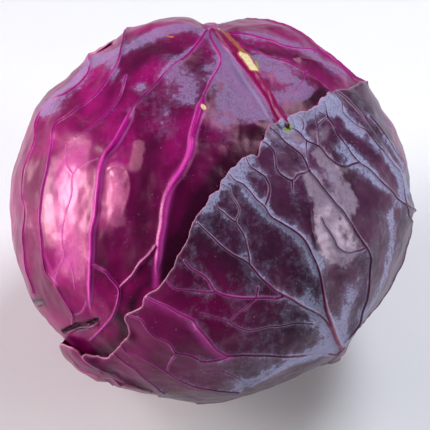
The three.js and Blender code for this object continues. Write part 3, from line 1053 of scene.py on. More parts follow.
CROWN_MARKS = {
    "bloom": [
        ([(100, 60), (130, 48), (158, 33), (185, 29), (204, 33)], 6, 1),
        ([(160, 31), (198, 30)], 3.5, 0.5), ([(214, 40), (234, 64), (250, 86), (266, 114)], 4.6, 1.5),
        ([(226, 62), (238, 92), (248, 116)], 5.5, 0.9), ([(207, 72), (224, 112), (238, 140)], 8, 0.62),
        ([(172, 60), (187, 96)], 8, 0.75), ([(192, 50), (166, 76)], 2, 0.7), ([(140, 88)], 3.2, 1.3),
        ([(112, 66), (122, 82)], 4, 0.6), ([(150, 100), (168, 128)], 7, 0.55),
        ([(250, 36), (300, 50), (340, 75)], 6, 0.85), ([(256, 62), (300, 84)], 8, 0.9),
        ([(272, 100), (310, 96)], 5, 0.8), ([(48, 108), (62, 92), (78, 78), (98, 62)], 5.5, 1.3),
        ([(60, 108), (84, 84)], 5, 0.6), ([(86, 64), (106, 50)], 4, 0.9),
        ([(36, 116), (54, 101)], 4, 0.6), ([(76, 330), (86, 328.5), (94, 326)], 0.5, 1.4),
    ],
    # Painted shade: shadows under and along the front leaf's raised margin, in the tear, the notch and
    # the gap by the flap, and darker parts of the blade
    "dark_tone_and_shadow": [
        ([(250, 138), (222, 164), (205, 194), (186, 238), (172, 266)], 7.5, 1),
        ([(204, 132), (196, 152), (180, 186), (170, 214), (165, 262)], 3.2, 0.55),
        ([(150, 150), (146, 190), (140, 230), (134, 262)], 6.5, 0.8),
        ([(130, 120), (150, 128), (176, 130)], 7, 0.3), ([(212, 112), (228, 124), (248, 134)], 6, 0.4),
        ([(262, 62), (300, 84), (330, 90)], 6, 0.25), ([(146, 62), (126, 74), (112, 92)], 4, 0.35),
        ([(112, 236), (106, 266)], 5, 0.45), ([(104, 350), (84, 345), (70, 338)], 4.5, 0.7),
        ([(128, 300), (122, 330)], 5, 0.5), ([(20, 230), (26, 280)], 5, 0.4),
        ([(46, 300), (70, 318), (100, 330)], 7, 0.3),
        ([(128, 62), (160, 50), (192, 62), (206, 96)], 9, 0.75), ([(150, 100), (180, 110)], 7, 0.35),
        ([(122, 84), (150, 104)], 8, 0.3), ([(110, 100), (96, 130), (76, 140)], 7, 0.3),
        ([(100, 236), (102, 268)], 3.5, 0.6), ([(262, 52), (300, 60), (326, 72)], 4.5, 0.7),
        ([(62, 331), (71, 328), (86, 325), (97, 320)], 0.9, 1.8),
        ([(30, 300), (36, 302), (43, 300.5)], 1.4, 2),
        ([(290, 110), (304, 106), (314, 100), (324, 92)], 2.4, 1.5),
        ([(264, 124), (256, 140), (254, 150)], 2.6, 1.2),
        ([(244, 150), (232, 164), (220, 174), (214, 188), (203, 200), (192, 218)], 2.4, 0.9),
        ([(186, 230), (174, 254), (160, 276), (140, 290), (132, 308)], 2, 0.8),
        ([(120, 316), (124, 332), (112, 348), (96, 354)], 2.2, 0.8),
        ([(222, 40), (246, 68), (262, 92), (276, 118)], 2.2, 0.45),
    ],
    # Brighter vein crests, and painted highlights on the panels lit from the left
    "bright_tone_and_highlight": [
        ([(192, 140), (189, 154), (172, 184), (161, 238), (154, 288)], 1.3, 0.75, 2),
        ([(104, 155), (96, 192), (91, 230), (90, 258), (88, 300)], 1, 0.7, 2),
        ([(51, 134), (45, 171), (38, 214), (41, 250), (54, 286)], 0.9, 0.45, 2),
        ([(80, 150), (78, 200), (76, 262)], 7, 0.3), ([(62, 168), (62, 210), (66, 258)], 6, 0.3),
        ([(118, 168), (118, 215)], 5, 0.25),
    ],
    # Painted highlight: a pale line along the midrib's left edge
    "satin": [([(216, 38), (233, 62), (252, 90), (268, 117)], 0.9, 0.8)],
    # Glossier panels, whose colour also gets a painted highlight
    "sheen": [
        ([(77, 150), (75, 190), (74, 262)], 7.6, 1), ([(118, 173), (118, 216)], 4.4, 1),
        ([(140, 146), (137, 166)], 2.8, 0.9), ([(50, 200), (52, 240)], 3, 0.7),
    ],
    "scar": [
        ([(215, 23), (224, 29), (236, 41), (246, 53)], 2.1, 0.78, 2),
        ([(244, 54), (249, 60), (254, 67)], 1.9, 5, 2), ([(203.5, 107.5)], 1.05, 4, 1.5),
        ([(206, 26), (212, 23.5)], 0.8, 1.3, 1), ([(217, 26), (219, 31)], 0.7, 1.3, 1.5),
        ([(167, 35.5), (173, 36.8)], 0.55, 1.3),
    ],
    "crimson": [(CROWN_MIDRIB, 5.0, 1.0, 2.0)],
    "lime": [([(257, 58), (259, 65)], 0.7, 0.7, 2.0)],
    "swell": [
        ([(118, 172), (118, 212)], 4.6, 1.1), ([(76, 170), (74, 225)], 7, 0.7),
        ([(142, 145), (140, 162)], 5, 0.7), ([(230, 70), (262, 116)], 3.5, -0.8),
    ],
}
# The hollow in which the crown leaf's midrib lies before it comes over the head
CROWN_HOLLOW = [(90, 62), (90, 50), (90, 38)]
OUTER_LOBE = [(103, 47)]

# The leaves that hardly show: each one's hub, margin, midrib, pairs of side veins, how far these
# go in millimetres, and its seed
INNER_LEAVES = {
    "right_leaf": (
        (14, 108),
        [(5, 164), (38, 152), (58, 128), (62, 102), (48, 78), (18, 66), (-14, 74), (-30, 98),
         (-30, 126), (-14, 150)],
        [(5, 163), (8, 140), (12, 115), (15, 90), (16, 72)], 4, 48.0, 17,
    ),
    "under_leaf": (
        (-124, 115),
        [(-132, 164), (-163, 146), (-168, 118), (-150, 94), (-122, 84), (-94, 92), (-78, 116),
         (-84, 140), (-104, 156)],
        [(-132, 163), (-130, 140), (-126, 115), (-122, 92)], 4, 44.0, 21,
    ),
    "back_leaf": (
        (57, 122),
        [(57, 164), (84, 152), (96, 128), (86, 102), (57, 92), (30, 102), (22, 128), (34, 152)],
        [(57, 163), (57, 140), (57, 118), (57, 98)], 3, 36.0, 25,
    ),
}
# Which leaves each leaf lies on, and which it only hides
LIES_ON = {
    "outer_leaf": ["crown_leaf"],
    "front_leaf": ["crown_leaf", "outer_leaf", "right_leaf"],
}
HIDES = {
    "front_leaf": ["under_leaf"],
    "outer_leaf": ["under_leaf"],
    "crown_leaf": ["right_leaf", "under_leaf", "back_leaf"],
}


def crest_height(kind):
    """How far above the blade the middle of a vein lies, on average."""
    _, rise, lean, _, _, taper = VEIN_KINDS[kind]
    return max(rise + lean, 0) * (1 - 0.5 * taper)


def drawn(veins, name):
    """Veins of the drawing, where their crests are seen."""
    return [(kind, seen(points, LIFT[name] + crest_height(kind))) for kind, points in veins]


def drawn_over(veins, name):
    """Veins of which the first part lies behind the head, and the rest is drawn."""
    return [
        (kind, np.vstack([turned(behind), seen(points, LIFT[name] + crest_height(kind))]))
        for kind, behind, points in veins
    ]


def placed(veins):
    """Veins that are given as directions."""
    return [(kind, turned(pairs)) for kind, pairs in veins]


def drawn_marks(marks, name):
    """Soft spots of the drawing, by kind, as directions."""
    return {kind: [drawn_spot(LIFT[name], *row) for row in rows] for kind, rows in marks.items()}


def drawn_spot(lift, points, radius, amount, rise=0.0):
    """A soft spot seen on a leaf, or by so much above it."""
    return seen(points, lift + rise), radius, amount


def standing(points, loose, rise=EDGE_LIFT):
    """Directions of a margin's points, which are seen where loose spots raise them."""
    dirs = seen(points, rise)
    for _ in range(STANDING_STEPS):
        dirs = unit(dirs + seen(points, rise + spots(dirs, loose)))
    return dirs


def tilted(pairs):
    """Directions from pairs of a bearing in the view and a tilt from the view's axis, in degrees."""
    bearing, tilt = np.radians(np.asarray(pairs, float)).T
    across = np.outer(np.cos(bearing), RIGHT) + np.outer(np.sin(bearing), UP)
    return np.cos(tilt)[:, None] * BACK + np.sin(tilt)[:, None] * across


def flap_loose():
    """Where the outer leaf's flap stands off the head, and how far."""
    return [
        (tilted([(bearing, tilt) for tilt in FLAP_TILTS]), FLAP_SPREAD, amount)
        for bearing, amount in FLAP_STAND
    ]


def crown_leaf():
    name = "crown_leaf"
    tip = seen(CROWN_MIDRIB, crest_height("midrib"))
    veins = [("midrib", np.vstack([turned(CROWN_MIDRIB_BEHIND), tip]))]
    veins += drawn(CROWN_VEINS, name)
    veins += drawn_over(CROWN_VEINS_OVER, name)
    veins += placed(CROWN_VEINS_BEHIND)
    marks = drawn_marks(CROWN_MARKS, name)
    marks["swell"] = [(turned(CROWN_HOLLOW), 5.0, -3.3)] + marks["swell"]
    return Leaf(name, (122, 58), turned(CROWN_MARGIN), veins, seed=5, **marks)


def front_leaf():
    name = "front_leaf"
    marks = drawn_marks(FRONT_MARKS, name)
    margin = [
        standing(FRONT_MARGIN, marks["loose"]),
        standing(FRONT_TONGUE, marks["loose"] + flap_loose(), TONGUE_LIFT),
        turned(FRONT_MARGIN_REST),
    ]
    tip = seen(FRONT_MIDRIB[:1], LIFT[name] + crest_height("ridge"))
    veins = [("midrib", np.vstack([turned(FRONT_STALK), tip]))]
    veins += drawn(FRONT_VEINS, name)
    veins += drawn_over(FRONT_VEINS_OVER, name)
    veins += placed(FRONT_VEINS_HIDDEN)
    return Leaf(name, (-50, 88), np.vstack(margin), veins, seed=9, **marks)


def outer_leaf():
    name = "outer_leaf"
    margin = [
        standing(OUTER_FLAP, flap_loose()),
        turned(OUTER_MARGIN_REST),
        tilted(OUTER_MARGIN_BEHIND),
    ]
    veins = placed(OUTER_VEINS_BEHIND) + drawn(OUTER_VEINS, name)
    marks = {
        "loose": flap_loose() + [(seen(OUTER_LOBE, 2.0), 6.0, 1.5)],
        "bloom": [
            (tilted([(226, 82), (232, 80), (240, 79), (254, 79)]), 4.5, 1.3),
            (seen(OUTER_LOBE, 2.0), 9.0, 0.9),
            (turned([(160, 110), (-160, 120)]), 16.0, 0.4),
        ],
        # Painted shade and darker tone on the flap
        "dark_tone_and_shadow": [(tilted([(223, 77), (225, 70), (230, 67.5), (236, 66.5)]), 4.0, 0.6)],
    }
    return Leaf(name, (176, 146), np.vstack(margin), veins, seed=13, **marks)


def inner_leaf(name):
    hub, margin, midrib, pairs, reach, seed = INNER_LEAVES[name]
    return Leaf(name, hub, turned(margin), pinnate(turned(midrib), pairs, reach), seed)


def make_leaves():
    """All leaves by name, each knowing those under and over it."""
    made = [crown_leaf(), front_leaf(), outer_leaf()] + [inner_leaf(name) for name in INNER_LEAVES]
    leaves = {leaf.name: leaf for leaf in made}
    for name, others in LIES_ON.items():
        leaves[name].under = [leaves[other] for other in others]
    for covers in (LIES_ON, HIDES):
        for name, others in covers.items():
            for other in others:
                leaves[other].over.append(leaves[name])
    return leaves


LEAVES = make_leaves()


# Meshes

VIEW_SIDE = (0.05, -0.1)  # how far towards the view a direction faces, from in it to behind it
COVERED_DEPTH = 12.0  # how far under another leaf its cover counts as complete
# Lengths of a leaf's edges in millimetres: at its margin, on its blade, under other leaves and on
# its inside. Behind the view they are that many times longer
FINENESS = {"edge": 0.45, "blade": 1.0, "covered": 4.0, "lining": 3.2, "behind": 2.1}
FINE_MARGIN = (2.5, 0.5)  # how deep inside the margin edges begin to be finer, and are finest
FINE_LINING = (6.0, 1.0)
FINE_SCAR = (0.05, 0.3)
LINING_SHARE = 4  # the inside has at most this part of the outside's triangles
FULL_DEPTH = 5.0  # how deep inside the margin a leaf has its full thickness
RIM_HIGHLIGHT_WIDTH = 0.45
INSIDE_DEPTH = 0.8
INSIDE_MARKS = 0.2  # share of the outside's marks that shows inside
MARK_RANGE = (-1.5, 2.0)
LEAF_PALENESS = 0.9
# Kinds of soft spot that a leaf may be painted with, painted shade and painted highlights among them
PAINTED = ("bloom", "dark_tone_and_shadow", "bright_tone_and_highlight", "satin", "sheen", "scar", "wine", "crimson", "lime")


def add_mesh(name, places, faces, marks):
    """A smooth mesh object, with a named number at each vertex."""
    mesh = bpy.data.meshes.new(name)
    mesh.vertices.add(len(places))
    mesh.vertices.foreach_set("co", (places * MM).astype(np.float32).ravel())
    mesh.loops.add(faces.size)
    mesh.loops.foreach_set("vertex_index", faces.astype(np.int32).ravel())
    mesh.polygons.add(len(faces))
    mesh.polygons.foreach_set("loop_start", np.arange(0, faces.size, faces.shape[1], dtype=np.int32))
    mesh.update(calc_edges=True)
    mesh.shade_smooth()
    for mark, values in marks.items():
        attribute = mesh.attributes.new(mark, "FLOAT", "POINT")
        attribute.data.foreach_set("value", np.asarray(values, np.float32))
    if mesh.validate():
        raise RuntimeError(f"{name} has faces that don't hold together")
    piece = bpy.data.objects.new(name, mesh)
    bpy.context.collection.objects.link(piece)
    return piece


def from_least(loop, share):
    """A loop from its least share on, and the share at which each step ends."""
    least = share.argmin()
    return np.roll(loop, -least), np.append(np.roll(share, -least)[1:], 2.0)


def join_margins(top, top_share, low, low_share):
    """Triangles between two loops, met by their share of the way round."""
    top, top_share = from_least(top, top_share)
    low, low_share = from_least(low, low_share)
    faces = []
    i = j = 0
    while i < len(top) or j < len(low):
        here, under = top[i % len(top)], low[j % len(low)]
        if j == len(low) or (i < len(top) and top_share[i] <= low_share[j]):
            i += 1
            faces.append((top[i % len(top)], here, under))
        else:
            j += 1
            faces.append((under, low[j % len(low)], here))
    return np.array(faces)


def outside_size(leaf):
    """How long edges of a leaf's outside should be at each direction."""

    def want(dirs):
        blade = FINENESS["blade"]
        size = crest_size(dirs, leaf.veins, blade)
        edge = ramp(*FINE_MARGIN, leaf.outline.depth(dirs))
        edge = np.maximum(edge, ramp(*FINE_SCAR, leaf.spots(dirs, "scar")))
        size = np.minimum(size, blade + (FINENESS["edge"] - blade) * edge)
        away = ramp(*VIEW_SIDE, dirs @ BACK)
        size = size * (1 + (FINENESS["behind"] - 1) * away)
        for other in leaf.over:
            hidden = ramp(0.6 * COVERED_DEPTH, COVERED_DEPTH, other.outline.depth(dirs))
            size = size + (FINENESS["covered"] - size) * hidden
        return size

    return want


def lining_size(leaf):
    """How long edges of a leaf's inside should be at each direction."""

    def want(dirs):
        edge = ramp(*FINE_LINING, leaf.outline.depth(dirs))
        return FINENESS["lining"] + (FINENESS["blade"] - FINENESS["lining"]) * edge

    return want


def leaf_places(dirs, height):
    return HEAD_CENTRE + dirs * height[:, None]


def leaf_marks(leaf, dirs, depth, inside):
    """The numbers at each vertex that its material goes by, but for veins."""
    marks = {
        "shoulder": vein_shoulder(dirs, leaf.veins),
        # A painted highlight along the margin
        "rim": bell(np.maximum(depth, 0), RIM_HIGHLIGHT_WIDTH),
        "inside": inside * ramp(0.0, INSIDE_DEPTH, depth),
        "pale": paleness(dirs) * LEAF_PALENESS,
    }
    shown = 1 - (1 - INSIDE_MARKS) * inside
    for kind in PAINTED:
        marks[kind] = np.clip(leaf.spots(dirs, kind) * shown, *MARK_RANGE)
    return marks


def leaf_mesh(leaf, settings, limit):
    """A leaf's outside, its inside, and the edge that joins them."""
    outline = leaf.outline
    square, dirs, faces = sheet(outline, outside_size(leaf), limit)
    height, vein, depth = leaf.surface(dirs, settings.vein_height)
    low_square, low_dirs, low_faces = sheet(outline, lining_size(leaf), limit // LINING_SHARE)
    low_height, _, low_depth = leaf.surface(low_dirs, 0.0)
    full = settings.leaf_thickness / MM
    body = ramp(0.0, FULL_DEPTH, low_depth)
    low_height -= MARGIN_THICKNESS + (full - MARGIN_THICKNESS) * body
    low_height += groove_bed(low_dirs, leaf.veins)
    top_loop = margin_loop(square, faces)
    low_loop = margin_loop(low_square, low_faces)
    edge = join_margins(
        top_loop,
        outline.place(square[top_loop])[1],
        low_loop + len(dirs),
        outline.place(low_square[low_loop])[1],
    )
    inside = np.concatenate([np.zeros(len(dirs)), np.ones(len(low_dirs))])
    marks = leaf_marks(leaf, np.vstack([dirs, low_dirs]), np.concatenate([depth, low_depth]), inside)
    marks["vein"] = np.concatenate([vein, np.zeros(len(low_dirs))])
    places = np.vstack([leaf_places(dirs, height), leaf_places(low_dirs, low_height)])
    joined = np.vstack([faces, low_faces[:, ::-1] + len(dirs), edge])
    return add_mesh(leaf.name + "_skin", places, joined, marks)


# Materials

# Widths of the features that colour and roughen a surface, in metres
MOTTLE = 0.02
FINE = 0.0012
TORN = 0.003
NET = 0.0062
NET_WARP = 0.009
NET_WARP_SCALE = 140.0
PATCHES = 0.011
STROKES = 0.0042
STROKE_STRETCH = (1.0, 0.8, 0.35)
GRIT = 0.0022
PITS = 0.0019
WORN = 0.006
DUST = 0.0009
SPECKS = 0.0021
SPECKLED = 0.009
STALK = 0.004
STEM_TONE = 0.006
RELIEF_DEPTH = 0.00018
STEM_RELIEF_DEPTH = 0.0002
BLACK = (0.0, 0.0, 0.0)
HIGHLIGHTS = 0.65

# How much of what is under it each mark hides where it is strongest
COVERAGE = {
    "wine": 0.9, "dark_tone_and_shadow": 0.9, "bright_tone_and_highlight": 0.85, "inside": 0.75, "pale": 0.85, "rim": 0.55,
    "ring": 0.7, "skin": 1.0, "scar": 0.8,
}
LEAF_TONES = ("blade", "deep", "vein", "flank", "gloss", "wax")
# For each kind of leaf: how much of its bloom is gone, and how much more there is along veins
BLOOM_WEAR = {"red": (0.42, 0.1), "dark": (0.2, 0.45)}


def paint(code):
    """Linear red, green and blue of a colour written as six hexadecimal digits."""
    parts = [int(code[i : i + 2], 16) / 255 for i in (1, 3, 5)]
    return tuple(c / 12.92 if c <= 0.04045 else ((c + 0.055) / 1.055) ** 2.4 for c in parts)


class Paint:
    """A material's node tree, with short ways to add to it."""

    def __init__(self, name):
        self.material = bpy.data.materials.new(name)
        self.material.use_nodes = True
        self.tree = self.material.node_tree
        self.shader = self.tree.nodes["Principled BSDF"]
        self.place = self.add("ShaderNodeTexCoord").outputs["Object"]

    def add(self, kind, inputs=(), **settings):
        node = self.tree.nodes.new(kind)
        for key, value in settings.items():
            setattr(node, key, value)
        for key, value in dict(inputs).items():
            self.plug(node.inputs[key], value)
        return node

    def plug(self, socket, value):
        if isinstance(value, bpy.types.NodeSocket):
            self.tree.links.new(value, socket)
        elif socket.type == "RGBA":
            socket.default_value = (*value[:3], 1.0)
        else:
            socket.default_value = value

    def noise(self, size, detail=4.0, roughness=0.55, stretch=None, distortion=0.0):
        """Noise from 0 to 1, with features of that size in metres."""
        place = self.place
        if stretch:
            place = self.add("ShaderNodeMapping", {"Vector": place, "Scale": stretch}).outputs[0]
        inputs = {"Vector": place, "Scale": 1 / size, "Detail": detail, "Roughness": roughness}
        inputs["Distortion"] = distortion
        return self.add("ShaderNodeTexNoise", inputs).outputs["Fac"]

    def cells(self, size, feature="F1", place=None):
        """How far each place is from the middle or the edge of such cells."""
        inputs = {"Vector": place or self.place, "Scale": 1.0 / size}
        return self.add("ShaderNodeTexVoronoi", inputs, feature=feature).outputs["Distance"]

    def vectors(self, operation, inputs):
        return self.add("ShaderNodeVectorMath", inputs, operation=operation).outputs[0]

    def maths(self, operation, a, b):
        return self.add("ShaderNodeMath", {0: a, 1: b}, operation=operation).outputs[0]

    def plus(self, a, b):
        return self.maths("ADD", a, b)

    def minus(self, a, b):
        return self.maths("SUBTRACT", a, b)

    def times(self, a, b):
        return self.maths("MULTIPLY", a, b)

    def larger(self, a, b):
        return self.maths("MAXIMUM", a, b)

    def span(self, value, low, high, to_low=0.0, to_high=1.0, kind="SMOOTHSTEP"):
        """From one number to another while the value goes from low to high."""
        inputs = {"Value": value, "From Min": low, "From Max": high}
        inputs |= {"To Min": to_low, "To Max": to_high}
        return self.add("ShaderNodeMapRange", inputs, interpolation_type=kind).outputs["Result"]

    def even_span(self, value, low, high, to_low, to_high):
        return self.span(value, low, high, to_low, to_high, "LINEAR")

    def mark(self, name):
        return self.add("ShaderNodeAttribute", attribute_name=name).outputs["Fac"]

    def mix(self, share, a, b):
        inputs = {0: share, 6: a, 7: b}
        return self.add("ShaderNodeMix", inputs, data_type="RGBA", clamp_factor=True).outputs[2]

    def tint(self, colour, mark, other):
        """The other colour over this one, as the mark covers it."""
        return self.mix(self.times(self.mark(mark), COVERAGE[mark]), colour, other)

    def bump(self, height, distance, strength):
        inputs = {"Height": height, "Distance": distance, "Strength": strength}
        return self.add("ShaderNodeBump", inputs).outputs["Normal"]

    def finish(self, colour, roughness, normal=None, **sockets):
        self.plug(self.shader.inputs["Base Color"], colour)
        self.plug(self.shader.inputs["Roughness"], roughness)
        if normal:
            self.plug(self.shader.inputs["Normal"], normal)
        for key, value in sockets.items():
            self.plug(self.shader.inputs[key.replace("_", " ")], value)
        return self.material


class LeafPaint(Paint):
    """Waxy cabbage leaf: mottled blade, brighter veins and a faint net of veinlets, and a bluish
    bloom that is rubbed away in patches, with shade, shadows and highlights painted into its colour."""

    def __init__(self, kind, settings):
        super().__init__("waxy_" + kind)
        self.settings = settings
        self.tone = {part: getattr(settings, f"{kind}_{part}") for part in LEAF_TONES}
        self.wear, self.foot = BLOOM_WEAR[kind]
        self.mottle = self.noise(MOTTLE, 6, 0.6)
        self.fine = self.noise(FINE, 4, 0.7)
        self.torn = self.even_span(self.noise(TORN, 5), 0.3, 0.7, -0.2, 0.2)
        self.vein = self.mark("vein")
        self.shown_vein = self.span(self.vein, 0.25, 0.65)
        self.veinlet = self.veinlets()
        self.satin = self.span(self.plus(self.mark("satin"), self.torn), 0.25, 0.6)
        ragged = self.times(self.torn, 0.5)
        self.sheen = self.span(self.plus(self.mark("sheen"), ragged), 0.2, 0.6)
        self.scar = self.span(self.plus(self.mark("scar"), ragged), 0.42, 0.55)
        self.cover = self.wax_cover()

    def veinlets(self):
        """A faint net, stronger in some places than in others."""
        inputs = {"Vector": self.place, "Scale": NET_WARP_SCALE, "Detail": 4.0}
        drift = self.add("ShaderNodeTexNoise", inputs).outputs["Color"]
        drift = self.vectors("SCALE", {0: drift, "Scale": NET_WARP})
        warped = self.vectors("ADD", {0: self.place, 1: drift})
        net = self.cells(NET, "DISTANCE_TO_EDGE", warped)
        return self.times(self.span(net, 0, 0.06, 1, 0), self.span(self.mottle, 0.4, 0.6))

    def wax_level(self):
        """How much wax there is, before it breaks up."""
        patches = self.noise(PATCHES, 9, 0.7, distortion=0.25)
        strokes = self.noise(STROKES, 7, 0.78, stretch=STROKE_STRETCH)
        grit = self.noise(GRIT, 4, 0.75)
        rub = self.plus(self.times(patches, 0.45), self.times(strokes, 0.55))
        spread = self.times(self.minus(rub, 0.5), 3)
        spread = self.plus(spread, self.times(self.minus(grit, 0.5), 1.1))
        level = self.plus(self.mark("bloom"), spread)
        level = self.plus(level, self.times(self.mark("shoulder"), self.foot))
        bare = self.plus(self.times(self.mark("crimson"), 1.5), 0.9)
        level = self.minus(level, self.times(self.shown_vein, bare))
        level = self.minus(level, self.wear)
        # Where shade is painted the bloom goes, so that the painted shade shows dark
        return self.minus(level, self.even_span(self.mark("dark_tone_and_shadow"), 0.6, 1.6, 0, 2))

    def wax_cover(self):
        """How much of the blade is hidden by a thin film, thicker bloom, and pits in it."""
        level = self.wax_level()
        cover = self.plus(self.span(level, -0.3, 0.3, 0, 0.2), self.span(level, 0.2, 0.34, 0, 0.42))
        pits = self.span(self.cells(PITS), 0.12, 0.24, 0.35, 1)
        worn = self.span(self.noise(WORN, 3), 0.5, 0.57, 1, 0)
        dust = self.span(self.noise(DUST, 2, 0.6), 0.3, 0.6, 0.6, 1.15)
        wax = self.times(self.larger(pits, worn), dust)
        even = self.larger(wax, self.span(level, 0.5, 1.2))
        return self.times(self.times(cover, even), self.settings.bloom)

    def blade(self):
        """The blade's colour, with its net and its darker tone, and painted shade and shadows."""
        colour = self.mix(self.span(self.mottle, 0.35, 0.65), self.tone["deep"], self.tone["blade"])
        wine = self.mix(self.mottle, self.settings.red_deep, self.settings.red_blade)
        colour = self.tint(colour, "wine", wine)
        colour = self.mix(self.times(self.veinlet, 0.18), colour, self.tone["vein"])
        # Painted shade and shadows, and darker tone of the blade
        return self.tint(colour, "dark_tone_and_shadow", self.settings.dark_tone_and_shadow)

    def painted_highlights(self, colour):
        # Painted highlight: the pale satin colour on smooth panels
        colour = self.mix(self.times(self.satin, 0.8), colour, self.settings.satin)
        # Painted highlight: the gloss tint in the blade's colour where it has a sheen
        return self.mix(self.times(self.sheen, 0.22), colour, self.tone["gloss"])

    def veined(self, colour):
        tone = self.mix(self.mark("wine"), self.tone["vein"], self.settings.red_vein)
        tone = self.mix(self.mark("crimson"), tone, self.settings.crimson)
        strength = self.span(self.mottle, 0.35, 0.65, 0.6, 0.95)
        colour = self.mix(self.times(self.shown_vein, strength), colour, tone)
        # Brighter tone and painted highlight on vein crests and lit panels
        colour = self.tint(colour, "bright_tone_and_highlight", self.settings.bright_tone_and_highlight)
        return self.mix(self.span(self.fine, 0.3, 0.75, 0, 0.3), colour, self.tone["deep"])

    def waxed(self, colour):
        """Bloom and a few specks of wax, and a painted highlight along the sides of the veins."""
        rare = self.span(self.noise(SPECKLED, 3), 0.54, 0.6)
        speck = self.times(self.span(self.cells(SPECKS), 0.08, 0.2, 1, 0), rare)
        veil = self.larger(self.cover, self.times(speck, 0.3))
        colour = self.mix(veil, colour, self.tone["wax"])
        # Painted highlight on the sides of the veins, where a raised vein's flank catches the light
        off_crest = self.span(self.vein, 0.2, 0.42, 1, 0)
        flank = self.times(self.span(self.vein, 0.02, 0.12), off_crest)
        flank = self.times(flank, self.span(self.mottle, 0.3, 0.6, 0.15, 0.6))
        tone = self.mix(self.mark("wine"), self.tone["flank"], self.settings.red_flank)
        return self.mix(flank, colour, tone)

    def edged(self, colour):
        """The leaf's inside, its stalk, its scars, and a painted highlight along its thin edge."""
        settings = self.settings
        colour = self.tint(colour, "inside", settings.inside)
        stalk = self.mix(self.noise(STALK, 4), settings.stalk, settings.red_vein)
        colour = self.tint(colour, "pale", stalk)
        flake = self.plus(self.mark("scar"), self.times(self.torn, 1.5))
        cork = self.mix(self.span(flake, 0.9, 1.6), settings.scar, settings.cream)
        cork = self.mix(self.span(self.fine, 0.45, 0.7, 0, 0.4), cork, settings.scar)
        colour = self.mix(self.scar, colour, cork)
        colour = self.mix(self.span(self.mark("lime"), 0.35, 0.6), colour, settings.lime)
        # Painted highlight along the thin edge
        return self.tint(colour, "rim", settings.rim)

    def roughness(self):
        rough = self.even_span(self.cover, 0, 0.6, 0.32, 0.52)
        rough = self.plus(rough, self.times(self.scar, 0.25))
        rough = self.minus(rough, self.times(self.satin, 0.06))
        return self.minus(rough, self.times(self.sheen, 0.05))

    def gloss(self):
        """The highlights' colour, and none where the leaf is dull."""
        gloss = self.mix(self.times(self.cover, 1.4), self.tone["gloss"], self.tone["wax"])
        dull = self.span(self.larger(self.sheen, self.satin), 0, 1, 0.45, 0)
        return self.mix(dull, gloss, BLACK)

    def made(self):
        colour = self.edged(self.waxed(self.veined(self.painted_highlights(self.blade()))))
        relief = self.plus(self.times(self.veinlet, 0.12), self.times(self.fine, 0.45))
        relief = self.plus(relief, self.times(self.mottle, 0.4))
        normal = self.bump(relief, RELIEF_DEPTH, 0.6)
        return self.finish(
            colour, self.roughness(), normal, Specular_IOR_Level=HIGHLIGHTS, Specular_Tint=self.gloss()
        )


def leaf_material(kind, settings):
    """The red or the dark leaf's material, made when it is first asked for."""
    return bpy.data.materials.get("waxy_" + kind) or LeafPaint(kind, settings).made()


def stem_material(settings):
    """Cut stem: pale flesh with a ring of strands and darker skin, a little dried."""
    p = Paint("stem_flesh")
    tone = p.noise(STEM_TONE, 5, 0.6)
    colour = p.mix(p.span(tone, 0.3, 0.7), settings.flesh, settings.ring)
    colour = p.tint(colour, "ring", settings.ring)
    strands = p.span(p.noise(DUST, 3, 0.6), 0.5, 0.65)
    colour = p.mix(p.times(strands, 0.25), colour, settings.dried)
    skin = p.mix(tone, settings.skin, settings.flesh)
    colour = p.tint(colour, "skin", skin)
    colour = p.tint(colour, "scar", settings.dried)
    fine = p.noise(FINE, 4, 0.65)
    normal = p.bump(fine, STEM_RELIEF_DEPTH, 0.7)
    return p.finish(colour, p.even_span(fine, 0.3, 0.7, 0.55, 0.8), normal)


def floor_material(settings):
    """Plain floor, a shade darker here and there."""
    p = Paint("floor")
    shade = tuple(0.97 * c for c in settings.floor)
    return p.finish(p.mix(p.noise(MOTTLE, 3.0), settings.floor, shade), 0.6)


# Stem and heart

STEM_TURNS = 150
STEM_FACE_RINGS = 22
STEM_FACE = 16.3  # radius where the cut face starts to round over
STEM_HOLLOW = 0.5  # how far the middle of the cut face has dried inwards
STEM_ROUNDING = (STEM_RADIUS - 0.3, 0.12)
STEM_SIDE = [(17.0, 0.7), (17.6, 4.0), (19.0, 9.0), (20.0, 14.0), (17.8, 20.0), (15.0, 23.0)]
STEM_SIDE_STEP = 0.45
STEM_ROUGHNESS = (30, 1.2, 6.0)
FACE_ROUGHNESS, SIDE_ROUGHNESS = 0.05, 0.14
STRAND_RING = 11.5
STRAND_WIDTH = 0.8
STRAND_DEPTH = 0.12
CRACKS = 3
CRACK_SHARPNESS = 16
CRACK_DEPTH = 0.45
CRACK_INNER, CRACK_OUTER = (0.5, 2.0), (8.0, 4.0)  # radii between which cracks rise and end
SCARS = 9
SCAR_TURN = math.radians(137.5)
SCAR_START = 2.6
SCAR_RISE = 1.25
SCAR_SAG = 1.4
SCAR_WIDTH = math.radians(44.0)
SCAR_THICKNESS = 0.55
SCAR_HEIGHT = 0.55
HEART_SQUARES = 56
HEART_RELIEF = 0.3
HEART_MIDRIB = [(120, 160), (118, 120), (116, 80), (100, 30)]
HEART_SEED, STEM_SEED = 51, 31
PALE_TO, PALE_FROM = 40.0, 16.0  # degrees from the stem over which leaves turn pale


def stem_scars(turn, rise):
    """How much of an old leaf's scar each place on the stem's side has."""
    scar = np.zeros(len(turn))
    for k in range(SCARS):
        away = (turn - k * SCAR_TURN + math.pi) % math.tau - math.pi
        across = np.clip(away / SCAR_WIDTH, -1, 1)
        middle = SCAR_START + k * SCAR_RISE + SCAR_SAG * across**2
        window = (1 - across**2) ** 0.5
        scar = np.maximum(scar, window * bell(rise - middle, SCAR_THICKNESS))
    return scar


